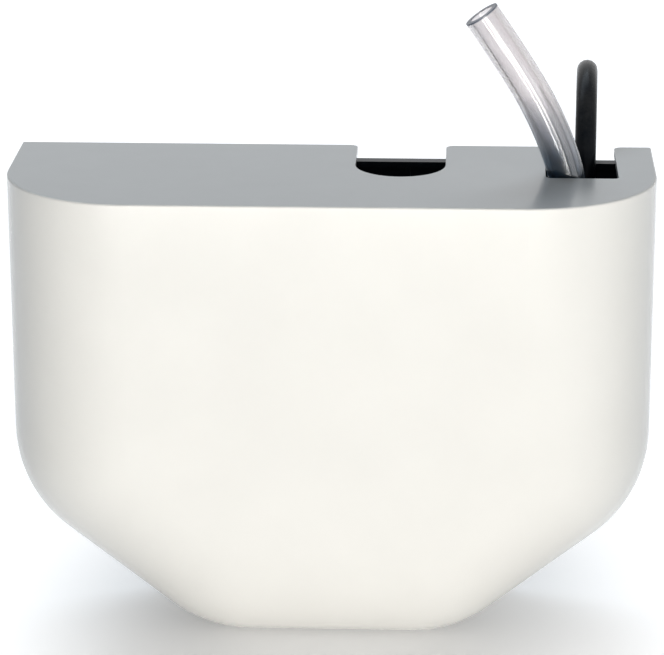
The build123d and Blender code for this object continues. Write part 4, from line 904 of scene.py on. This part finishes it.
class Assembly:
    """One sub-assembly: the finishes that its CAD nodes wear, and the pieces that it adds."""

    body = "pump"
    worn: dict[Shade, tuple[str, ...]] = {}

    def build(self) -> None:
        """Dresses the CAD nodes and adds the assembly's own pieces."""
        for shade, nodes in self.worn.items():
            self.dress(shade, *nodes)
        self.add_pieces()

    def add_pieces(self) -> None:
        """Adds pieces that the CAD leaves out, where there are any."""

    def dress(self, shade: Shade, *nodes: str) -> None:
        """Gives CAD nodes a finish.

        Args:
            shade: The finish.
            *nodes: The nodes that it goes on.
        """
        for node in nodes:
            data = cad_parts[node].data
            data.materials.clear()
            data.materials.append(PAINTS.get(shade))
            LOG.info("%s wears %s", node, shade.value.name)

    def add(self, piece: Piece, slot: str, *nodes: str) -> Piece:
        """Attaches a built piece to the assembly's body.

        Args:
            piece: The new object.
            slot: Material slot of the record; not used.
            *nodes: CAD nodes that it stands for.

        Returns:
            The same object.
        """
        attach(piece, self.body)
        if nodes:
            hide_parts(*nodes)
        LOG.info("%s rides on %s", piece.name, self.body)
        return piece

    def mould(self, name: str, mesh: Mesh, shade: Shade, crease: float, slot: str, *nodes: str) -> Piece:
        """Turns a mesh into a piece of the assembly.

        Args:
            name: The piece's name.
            mesh: Its geometry, which is freed.
            shade: Its finish.
            crease: Angle in degrees above which an edge stays sharp.
            slot: Material slot of the record, passed on to add, which doesn't use it.
            *nodes: CAD nodes that it stands for.

        Returns:
            The new piece.
        """
        return self.add(finish_mesh(name, mesh, PAINTS.get(shade), crease), slot, *nodes)


# --------------------------------------------------------------- sub-assemblies


class Housing(Assembly):
    """White front cover and the dark chassis behind it."""

    worn = {Shade.COVER: ("front_cover",), Shade.CHASSIS: ("rear_chassis",)}


@dataclass
class ScrewSet(Assembly):
    """Cross-recess screws in place of one node's plain ones."""

    node: str
    shares: tuple = (0.02, 0.08, 0.16, 0.24, 0.32, 0.40, 0.48, 0.56, 0.64, 0.76, 0.88, 0.95, 1.0)
    steps: int = 40
    dome: float = 0.42
    recess: float = 0.62
    recess_width: float = 0.13
    recess_fade: tuple = (0.60, 0.50)
    thread_steps: int = 16
    thread_pitch: float = 0.8
    thread_root: float = 0.78
    thread_rise: float = 0.21

    def add_pieces(self) -> None:
        """Builds a screw at each solid of the node."""
        mesh = bmesh.new()
        for points in islands(self.node):
            self.add_screw(mesh, points)
        self.mould(f"{self.node}_cut", mesh, Shade.STEEL, 40.0, "bright_steel", self.node)

    def add_screw(self, mesh: Mesh, points: list[Vector]) -> None:
        """Adds one screw with a domed head and a rolled thread.

        Args:
            mesh: Where it goes.
            points: Corners of the plain screw, in metres.
        """
        low, high = (Vector([pick(p[k] for p in points) for k in range(3)]) for pick in (min, max))
        size = high - low
        middle = (low + high) / 2
        along = max(range(3), key=lambda k: size[k])
        reach = [hypot(*(p[k] - middle[k] for k in range(3) if k != along)) for p in points]
        head = max(reach)
        near = 0.12 * size[along]
        under, over = (
            max(r for p, r in zip(points, reach) if abs(p[along] - end[along]) < near) for end in (low, high)
        )
        outward = 1 if over > under else -1
        top = high[along] if outward > 0 else low[along]
        shank = max(r for r in reach if r < 0.75 * head)
        thick = max(abs(top - p[along]) for p, r in zip(points, reach) if r > 0.9 * head)
        axis = Vector((0, 0, 0))
        axis[along] = outward
        middle[along] = top
        matrix = facing(middle, axis)
        self.add_head(mesh, matrix, head, thick)
        self.add_thread(mesh, matrix, shank, thick, size[along])

    def add_head(self, mesh: Mesh, matrix: Matrix, head: float, thick: float) -> None:
        """Domed head, its top at the matrix's origin, with a cross recess.

        Args:
            mesh: Where it goes.
            matrix: Place of the head's top.
            head: Its radius in metres.
            thick: Its thickness in metres.
        """
        rings = []
        for share in self.shares:
            ring = []
            for x, y in circle(share, self.steps):
                dome = self.dome * thick * (1 - sqrt(max(1 - 0.94 * share * share, 0.0)))
                slot = max(1 - min(abs(x), abs(y)) / self.recess_width, 0.0)
                slot *= smooth_step(share, *self.recess_fade)
                depth = self.recess * thick * min(slot * 1.6, 1.0) * (1 - 0.45 * share)
                ring.append(matrix @ Vector((x * head, y * head, -dome - depth)))
            rings.append(ring)
        for share, drop in ((1.0, 0.72), (0.97, 1.0)):
            rings.append(level_ring(matrix, share * head, -drop * thick, self.steps))
        add_rings(mesh, rings)

    def add_thread(self, mesh: Mesh, matrix: Matrix, shank: float, thick: float, length: float) -> None:
        """Shank with a helical thread and a drawn-in point.

        Args:
            mesh: Where it goes.
            matrix: Place of the head's top.
            shank: Crest radius in metres.
            thick: Where the shank starts under the head's top.
            length: Where it ends.
        """
        pitch = self.thread_pitch * shank
        rows = max(int((length - thick) / (pitch / 4)), 4)
        start = 0.9 * thick
        rings = []
        for row in range(rows + 1):
            down = start + (length - start) * row / rows
            tip = min((length - down) / (1.2 * shank) + 0.35, 1.0)
            ring = []
            for step, (x, y) in enumerate(circle(1.0, self.thread_steps)):
                phase = down / pitch - step / self.thread_steps
                crest = abs(2 * (phase - floor(phase)) - 1)
                radius = shank * (self.thread_root + self.thread_rise * crest) * tip
                ring.append(matrix @ Vector((radius * x, radius * y, -down)))
            rings.append(ring)
        add_rings(mesh, rings)


class TankAssembly(Assembly):
    """Tank, gasket, lid and inlet."""

    worn = {
        Shade.TANK: ("tank",),
        Shade.LID: ("tank_lid", "stem_nuts"),
        Shade.GREY_RUBBER: ("lid_gasket", "inlet_bush"),
        Shade.STEM: ("inlet_strainer",),
    }


@dataclass
class Motor(Assembly):
    """Shaded-pole motor over the tank, with its winding built turn by turn."""

    worn = {
        Shade.STACK: ("stator_core", "rotor_core"),
        Shade.ALLOY: ("lower_bracket", "upper_bracket"),
        Shade.BRONZE: ("lower_bearing", "upper_bearing"),
        Shade.STEEL: ("rotor_shaft",),
        Shade.FAN: ("cooling_fan",),
        Shade.RELIEF: ("shaft_slinger",),
    }
    wire: float = 0.55
    flange: float = 1.4
    limb_cover: float = 8.0
    bed: float = 1.6
    steps: int = 40

    def add_pieces(self) -> None:
        """Builds the coil's outer turns, and the former that they lie on."""
        low, high = box_mm("motor_coil")
        middle = (low + high) / 2
        inset = self.wire + 0.5
        half_x, half_z = (high.x - low.x) / 2 - inset, (high.z - low.z) / 2 - inset
        count = int((high.y - low.y - 2 * self.flange) / (2 * self.wire))
        start = middle.y - count * self.wire
        line = []
        for step in range(count * self.steps):
            turn = step / self.steps
            x, z = oval(2 * pi * turn, half_x, half_z, 5.0)
            line.append(Vector((middle.x + x, start + turn * 2 * self.wire, middle.z + z)) * MM)
        turns = bmesh.new()
        swept(turns, line, circle(self.wire, 8), upward=Vector((0, 1, 0)))
        self.mould("winding_turns", turns, Shade.COPPER, 60.0, "winding_copper", "motor_coil")
        former = bmesh.new()
        for front in (low.y, high.y - self.flange):
            near, far = Vector((low.x, front, low.z)), Vector((high.x, front + self.flange, high.z))
            self.add_frame(former, near, far)
        inner = Vector((self.bed, 0, self.bed))
        self.add_frame(former, low + inner, high - inner)
        self.mould("winding_former", former, Shade.STEM, 30.0, "stem_plastic")

    def add_frame(self, mesh: Mesh, low: Vector, high: Vector) -> None:
        """Adds four bars round the core's limb.

        Args:
            mesh: Where they go.
            low: Their lowest corner in millimetres.
            high: Their highest corner in millimetres.
        """
        coil_low, coil_high = box_mm("motor_coil")
        core_low, core_high = (corner.z for corner in box_mm("stator_core"))
        left, right = coil_low.x + self.limb_cover, coil_high.x - self.limb_cover
        soft_block(mesh, (low.x, low.y, core_high), high)
        soft_block(mesh, low, (high.x, high.y, core_low))
        soft_block(mesh, (low.x, low.y, core_low - 0.5), (left, high.y, core_high + 0.5))
        soft_block(mesh, (right, low.y, core_low - 0.5), (high.x, high.y, core_high + 0.5))


class PumpEnd(Assembly):
    """Column, volute, impeller and discharge pipe."""

    worn = {
        Shade.PUMP: ("pump_column", "volute", "volute_cover"),
        Shade.IMPELLER: ("impeller",),
        Shade.STEM: ("discharge_pipe",),
    }


@dataclass
class CheckValve(Assembly):
    """Non-return valve under the hose."""

    worn = {
        Shade.PUMP: ("valve_body", "outlet_barb"),
        Shade.RELIEF: ("valve_seal",),
        Shade.IMPELLER: ("valve_poppet",),
        Shade.STEEL: ("hose_clip",),
    }
    wire: float = 0.4
    lift: float = 4.0
    active_turns: float = 4.0
    steps: int = 24

    def add_pieces(self) -> None:
        """Builds the spring with closed ends, and gives it a mesh of its own."""
        low, high = box_mm("valve_spring")
        middle = (low + high) / 2
        tall = high.z - low.z
        radius = (high.x - low.x) / 2 - self.wire
        closed = 2.1 * self.wire
        span = tall - 2 * self.wire
        line = []
        for step in range(int((self.active_turns + 2) * self.steps) + 1):
            turn = step / self.steps
            active = min(max(turn - 1, 0.0), self.active_turns)
            height = closed * (turn - active) + (span - 2 * closed) * active / self.active_turns
            x, y = radius * cos(2 * pi * turn), radius * sin(2 * pi * turn)
            line.append(Vector((middle.x + x, middle.y + y, low.z + self.wire + height)) * MM)
        mesh = bmesh.new()
        swept(mesh, line, circle(self.wire, 10))
        spring = self.mould("spring", mesh, Shade.STEEL, 60.0, "bright_steel", "valve_spring")
        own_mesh(spring)


class LevelSwitches(Assembly):
    """Two floats on their stems."""

    worn = {
        Shade.STEM: ("main_stem", "alarm_stem"),
        Shade.FLOAT: ("main_float", "alarm_float"),
        Shade.STEEL: ("main_stop_clip", "alarm_stop_clip"),
    }


@dataclass
class ControlBox(Assembly):
    """Case, board and the parts soldered to it."""

    worn = {
        Shade.CASE: ("control_case", "control_cover"),
        Shade.BOARD: ("control_board",),
        Shade.RELAY: ("board_relay",),
        Shade.TERMINAL: ("terminal_block",),
    }
    can: tuple = ((0.1, 0.0), (3.2, 0.0), (3.5, 0.4), (3.5, 7.4), (3.2, 7.8), (2.6, 7.7), (0.1, 7.6))
    bead: tuple = ((0.3, 4.4), (0.3, 2.6), (1.0, 2.4), (1.15, 1.9), (0.9, 1.3))
    resistors: int = 3
    pitch: float = 3.4

    def add_pieces(self) -> None:
        """Adds a capacitor, a chip and resistors in front of the board, under the relay."""
        front = box_mm("control_board")[0].y
        relay = box_mm("board_relay")[0]
        left, under = relay.x, relay.z
        dark = bmesh.new()
        turned(dark, self.can, scaled((left + 4.0, front, under - 5.0), Vector((0, -1, 0))), 32)
        soft_block(dark, (left + 10.0, front - 2.2, under - 7.0), (left + 15.0, front, under - 2.0), 0.3)
        self.mould("board_capacitor", dark, Shade.CHIP, 35.0, "relay_plastic")
        pale = bmesh.new()
        body = [(radius, -height) for radius, height in self.bead] + list(self.bead[::-1])
        for index in range(self.resistors):
            place = (left + 30.0, front - 1.3, under - 10.0 - self.pitch * index)
            turned(pale, body, scaled(place, Vector((1, 0, 0))), 16)
        self.mould("board_resistors", pale, Shade.CERAMIC, 35.0, "impeller_plastic")


@dataclass
class OutletHose(Assembly):
    """Clear hose pushed over the barb."""

    route: tuple = (
        (81, 3, 106), (81, 3, 125), (80.6, 6.2, 143), (77.2, 8, 161.5),
        (69.8, 8.3, 179.5), (59.8, 8, 196.5), (48.8, 8, 212.4),
    )
    outer: float = 6.0
    bore: float = 4.1
    length: float = 0.1145
    rim: float = 0.0005
    steps: int = 40

    def add_pieces(self) -> None:
        line = followed(nurbs_line("hose_line", metres(self.route)))
        line.insert(-1, line[-1] + (line[-2] - line[-1]).normalized() * self.rim)
        outside, inside = (
            carried(line, circle(radius, self.steps), upward=Vector((0, 1, 0)))
            for radius in (self.outer, self.bore)
        )
        mesh = bmesh.new()
        add_rings(mesh, outside + inside[::-1], around=True)
        mesh.faces.ensure_lookup_table()
        wall = len(line) - 1
        # The rim's strip on the outside, then the flat faces of the cut end and of the barb end; these take
        # the dark blue-grey of painted shade.
        for index, face in enumerate(mesh.faces):
            if index // self.steps in (wall - 1, wall, 2 * wall + 1):
                face.material_index = 1
        piece = finish_mesh("hose", mesh, PAINTS.get(Shade.VINYL), 50.0)
        piece.data.materials.append(PAINTS.get(Shade.PAINTED_SHADE_VINYL))
        self.add(piece, "clear_hose", "outlet_hose")


@dataclass
class PowerLead(Assembly):
    """Mains lead: its run over the cover's edge, its coil, tie and plug."""

    worn = {Shade.NICKEL: ("plug_pins",)}
    run: tuple = (
        (84.3, 25, 126), (84.3, 25, 156), (85.2, 48.3, 179.3), (86.5, 81.3, 179.3), (87.4, 104.6, 156),
        (88.2, 106.5, 119), (87.6, 105.5, 83), (86.5, 109, 51), (80, 121, 22.5), (62, 136, 6.4),
        (38, 144.2, 3.8),
    )
    tail: tuple = ((-8, 142.6, 17.4), (-25, 143.5, 18.5), (-42, 143.5, 18.5))
    centre: Point = (16.0, 98.0, 0.0)
    radius: float = 3.6
    mean: float = 43.0
    turns: int = 4
    steps: int = 16
    length: float = 1.48
    tie_angle: float = 150.0
    tie_gap: float = 0.7
    tie_twist: float = 7 * pi
    tie_steps: int = 64
    strand: float = 0.62
    strand_reach: float = 6.5
    strand_steps: int = 48
    strip: tuple = (
        (-2, -0.2), (-0.5, -0.45), (0.5, -0.45), (2, -0.2), (2, 0.2), (0.5, 0.45), (-0.5, 0.45), (-2, 0.2)
    )
    ribs: int = 6
    rib_crest: float = 6.4
    rib_taper: float = 1.6
    boot_rings: int = 5
    plug_end: Point = (-42.0, 143.5, 18.5)
    plug_form: tuple = (
        (8.0, 16.0), (9.6, 17.0), (12.4, 18.6), (15.2, 21.6), (17.2, 24.6), (18.2, 27.0), (18.5, 30.0),
        (18.5, 52.0), (18.5, 56.4), (18.1, 57.4), (17.4, 58.0), (15.6, 58.0), (15.2, 57.2), (0.1, 57.2),
    )
    plug_sides: int = 64
    plug_flat: float = 15.0
    flat_span: tuple = (27.0, 57.3)
    grips: int = 24
    grip_span: tuple = (18.0, 28.0)
    grip_depth: float = 0.35

    def add_pieces(self) -> None:
        """Builds the lead and everything on it."""
        lead = nurbs_line("lead", metres(self.run) + self.coil_points() + metres(self.tail))
        lead.data.bevel_depth = self.radius * MM
        lead.data.bevel_resolution = 6
        lead.data.use_fill_caps = True
        lead.data.materials.append(PAINTS.get(Shade.JACKET))
        self.add(lead, "cord_jacket", "power_cord", "cord_coil", "cord_tail")
        tie = self.build_tie()
        plug = self.build_plug()
        relief = self.build_relief()
        LOG.info("%s holds the lead", relief.name)

    def layer(self, turn: float) -> tuple[float, float]:
        """Where the lead lies in the coil's section.

        Args:
            turn: Turns wound so far.

        Returns:
            Distance from the mean radius, and height, in millimetres.
        """
        r = self.radius
        top = 3 * r + sqrt(3) * r
        slots = [(r, r), (-r, r), (-r, 3 * r), (r, 3 * r), (0, top)]
        spans = [(255, 350), (200, 260), (125, 210), (90, 145)]
        whole = min(int(turn), self.turns - 1)
        share = smooth_step((turn - whole) * 360, *spans[whole])
        (out, height), (next_out, next_height) = slots[whole], slots[whole + 1]
        return out + (next_out - out) * share, height + (next_height - height) * share

    def coil_points(self) -> list[Vector]:
        """Control points of the turns, from the rear of the coil and round to the left."""
        points = []
        wide = 1 / cos(pi / self.steps)
        for step in range(self.turns * self.steps + 1):
            turn = step / self.steps
            out, height = self.layer(turn)
            angle = pi / 2 + 2 * pi * turn
            reach = (self.mean + out) * wide
            offset = Vector((reach * cos(angle), reach * sin(angle), height))
            points.append((Vector(self.centre) + offset) * MM)
        return points

    def build_tie(self) -> Piece:
        """Flat wire tie round the turns, its ends twisted together outside the coil."""
        outward = Matrix.Rotation(radians(self.tie_angle), 3, "Z") @ Vector((1, 0, 0))
        along = UP.cross(outward)
        middle = Vector(self.centre) + outward * self.mean
        half = 2 * self.radius + self.tie_gap
        mesh = bmesh.new()
        loop = []
        for step in range(self.tie_steps):
            out, height = oval(2 * pi * step / self.tie_steps, half, half, 3.2)
            loop.append((middle + outward * out + UP * max(2 * self.radius + height, 0.5)) * MM)
        swept(mesh, loop, self.strip, around=True, upward=outward)
        root = middle + outward * half + UP * 2 * self.radius
        for side in (1, -1):
            strand = []
            for step in range(self.strand_steps + 1):
                share = step / self.strand_steps
                spin = self.tie_twist * share
                offset = (UP * cos(spin) + along * sin(spin)) * 0.75 - UP * max(share - 0.8, 0) * 12
                strand.append((root + outward * (self.strand_reach * share - 0.3) + offset * side) * MM)
            swept(mesh, strand, circle(self.strand, 8))
        return self.mould("tie", mesh, Shade.TIE, 50.0, "tie_wire", "cord_tie")

    def build_relief(self) -> Piece:
        """Ribbed, tapered sleeve where the lead leaves the control box."""
        low, high = box_mm("strain_relief")
        wide = (high.x - low.x) / 2
        length = high.z - low.z
        profile = [(0.1, 0.0), (wide - 0.4, 0.0), (wide, 0.4), (wide, 2.6), (wide - 0.5, 3.0), (5.6, 3.0)]
        pitch = (length - 5.0) / self.ribs
        for index in range(self.ribs):
            share = index / (self.ribs - 1)
            crest = self.rib_crest - self.rib_taper * share
            root = crest - 1.2 + 0.5 * share
            base = 4.0 + pitch * index
            profile += [(root, base - 0.3), (root, base + 0.2)]
            profile += [(crest - 0.2, base + 0.4), (crest, base + 0.7)]
            above = base + pitch
            profile += [(crest, above - 1.3), (crest - 0.2, above - 1.0), (root, above - 0.8)]
        profile += [(4.4, length - 1.0), (4.3, length - 0.3), (4.0, length)]
        profile += [(3.7, length), (0.1, length - 0.2)]
        mesh = bmesh.new()
        turned(mesh, profile, scaled(((low.x + high.x) / 2, (low.y + high.y) / 2, low.z)))
        return self.mould("relief", mesh, Shade.RELIEF, 35.0, "black_rubber", "strain_relief")

    def build_plug(self) -> Piece:
        """Moulded plug lying on its side, with grip ribs, boot rings and earth strips."""
        profile = [(3.7, 0.0), (4.6, 0.0)]
        for index in range(self.boot_rings):
            base = 1.0 + 2.9 * index
            crest = 4.9 + 0.72 * index
            profile += [(crest - 0.8, base), (crest, base + 0.5), (crest + 0.15, base + 1.7)]
            profile += [(crest - 0.6, base + 2.1)]
        place = scaled(self.plug_end, Vector((-1, 0, 0)))
        rings = []
        for radius, height in (*profile, *self.plug_form):
            gripped = self.grip_span[0] < height < self.grip_span[1]
            grip = self.grip_depth * smooth_step(height, 17.0, 21.0) if gripped else 0.0
            ring = []
            for step, (x, y) in enumerate(circle(1.0, self.plug_sides)):
                reach = radius - grip * (0.5 + 0.5 * cos(2 * pi * self.grips * step / self.plug_sides))
                if self.flat_span[0] < height < self.flat_span[1]:
                    flat = min(radius, self.plug_flat / max(abs(y), 0.1)) - radius
                    reach += flat * smooth_step(abs(y), 0.97, 0.985)
                ring.append(place @ Vector((reach * x, reach * y, height)))
            rings.append(ring)
        mesh = bmesh.new()
        add_rings(mesh, rings)
        return self.mould("plug", mesh, Shade.PLUG, 40.0, "plug_plastic", "plug_body")


# ---------------------------------------------------------------------- studio


@dataclass(frozen=True)
class Lamp:
    """Soft rectangular lamp, with its place, target and sides in metres and its power in watts."""

    name: str
    place: Point
    target: Point
    wide: float
    tall: float
    power: float
    tint: Colour

    def build(self) -> None:
        """Hangs the lamp and turns it to its target."""
        data = bpy.data.lights.new(self.name, "AREA")
        data.shape = "RECTANGLE"
        data.size, data.size_y = self.wide, self.tall
        data.energy = self.power
        data.color = self.tint
        lamp = bpy.data.objects.new(self.name, data)
        lamp.location = self.place
        lamp.rotation_euler = (Vector(self.target) - Vector(self.place)).to_track_quat("-Z", "Y").to_euler()
        bpy.context.scene.collection.objects.link(lamp)


@dataclass
class Studio:
    """Floor, world, lamps and camera."""

    lens: float = 166.4
    sensor: float = 36.0
    position: Point = (0.04401, -0.97132, 0.42839)
    pitch: float = 18.28
    yaw: float = 2.57
    roll: float = -0.13
    world_glow: float = 0.10
    # Painted shadow: the floor's glow next to the object, then far from it, and the stretch and edge of the
    # darker patch.
    painted_shadow_glow: float = 0.22
    far_glow: float = 0.80
    painted_shadow_scale: Point = (7.9, 6.5, 0.0)
    painted_shadow_edge: tuple = (0.30, 1.05)
    open_reach: tuple = (2.0, 7.0)
    open_glow: float = 0.2
    world_colour: Colour = (0.82, 0.91, 1.0)
    floor_size: float = 6.0
    floor_colour: Colour = (0.85, 0.85, 0.85)
    lamps: tuple = (
        Lamp("key", (0.22, -1.9, 0.19), (0.0, 0.0, 0.07), 1.7, 0.36, 20.9, (1.0, 0.976, 0.922)),
        Lamp("fill_right", (1.5, -0.9, 0.3), (0.05, 0.0, 0.08), 1.0, 0.5, 3.5, (0.96, 0.98, 1.0)),
        Lamp("behind", (-0.35, 1.1, 1.5), (0.0, 0.0, 0.0), 1.6, 0.8, 10.3, (0.76, 0.88, 1.0)),
        Lamp("low_front", (0.03, -0.75, 0.012), (0.0, 0.0, 0.07), 1.0, 0.02, 2.1, (1.0, 0.985, 0.96)),
    )

    def build(self) -> None:
        """Sets the whole stage."""
        self.add_camera()
        self.add_world()
        self.add_floor()
        for lamp in self.lamps:
            lamp.build()
        bpy.context.scene.view_settings.view_transform = "Standard"

    def add_camera(self) -> None:
        """Places the camera."""
        p, y, r = radians(self.pitch), radians(self.yaw), radians(self.roll)
        back = Vector((sin(y) * cos(p), -cos(y) * cos(p), sin(p)))
        right = Vector((cos(y), sin(y), 0))
        up = back.cross(right)
        across = right * cos(r) + up * sin(r)
        above = up * cos(r) - right * sin(r)
        data = bpy.data.cameras.new("camera")
        data.lens = self.lens
        data.sensor_width = self.sensor
        data.sensor_fit = "HORIZONTAL"
        data.clip_start = 0.01
        data.clip_end = 50.0
        camera = bpy.data.objects.new("camera", data)
        turn = Matrix((across, above, back)).transposed().to_4x4()
        camera.matrix_world = Matrix.Translation(self.position) @ turn
        bpy.context.scene.collection.objects.link(camera)
        bpy.context.scene.camera = camera

    def seen_directly(self, graph: Graph) -> Socket:
        """1 on camera, glossy and transmission rays, and 0 on the rest."""
        path = graph.node("LightPath").outputs
        seen = graph.math("ADD", path["Is Camera Ray"], path["Is Glossy Ray"], clamp=True)
        return graph.math("ADD", seen, path["Is Transmission Ray"], clamp=True)

    def add_world(self) -> None:
        """White where it is seen, and a plain soft light elsewhere."""
        world = bpy.data.worlds.new("studio_world")
        bpy.context.scene.world = world
        world.use_nodes = True
        world.node_tree.nodes.clear()
        graph = Graph(world.node_tree)
        seen = self.seen_directly(graph)
        colour = graph.blend(seen, self.world_colour, (1.0, 1.0, 1.0))
        strength = graph.remap(seen, 0.0, 1.0, self.world_glow, 1.0)
        light = graph.node("Background", {"Color": colour, "Strength": strength})
        output = graph.node("OutputWorld")
        graph.feed(output.inputs["Surface"], light.outputs[0])

    def add_floor(self) -> None:
        """Pale floor that keeps the object's shadow, darkened round the object's foot by a painted shadow,
        and reaches white in the open.
        """
        material, graph, shader = start_material("studio_floor")
        where = graph.node("TexCoord").outputs["Object"]
        darker = tuple(0.99 * channel for channel in self.floor_colour)
        colour = graph.blend(graph.noise(where, 400.0, 2.0), darker, self.floor_colour)
        graph.feed(shader.inputs["Base Color"], colour)
        graph.wire(shader, {"Roughness": 1.0, "Specular IOR Level": 0.0})
        # Painted shadow: the floor's glow drops round the object's foot, lowest nearest to it.
        reach = graph.node("VectorMath", {0: where, 1: self.painted_shadow_scale}, operation="MULTIPLY").outputs[0]
        away = graph.node("VectorMath", {0: reach}, operation="LENGTH").outputs["Value"]
        edge = dict(enumerate((away, *self.painted_shadow_edge)))
        share = graph.node("MapRange", edge, interpolation_type="SMOOTHSTEP").outputs[0]
        bright = graph.remap(share, 0.0, 1.0, self.painted_shadow_glow, self.far_glow)
        bright = graph.math("ADD", bright, graph.remap(away, *self.open_reach, 0.0, self.open_glow))
        glow = graph.times(self.seen_directly(graph), bright)
        grey = graph.node("CombineColor", {0: glow, 1: glow, 2: glow}).outputs[0]
        graph.wire(shader, {"Emission Color": grey, "Emission Strength": 1.0})
        mesh = bmesh.new()
        bmesh.ops.create_grid(mesh, x_segments=1, y_segments=1, size=self.floor_size)
        floor_piece = finish_mesh("studio_floor", mesh, material)


def main() -> None:
    """Builds every sub-assembly and the studio."""
    logging.basicConfig(level=logging.INFO, format="%(name)s: %(message)s")
    parts = [Housing(), TankAssembly(), Motor(), PumpEnd(), CheckValve(), LevelSwitches(), ControlBox()]
    screwed = ("chassis", "lid", "motor", "column", "volute", "case")
    parts += [ScrewSet(f"{name}_screws") for name in screwed]
    parts += [OutletHose(), PowerLead(), Studio()]
    for part in parts:
        part.build()


if __name__ == "__main__":
    main()
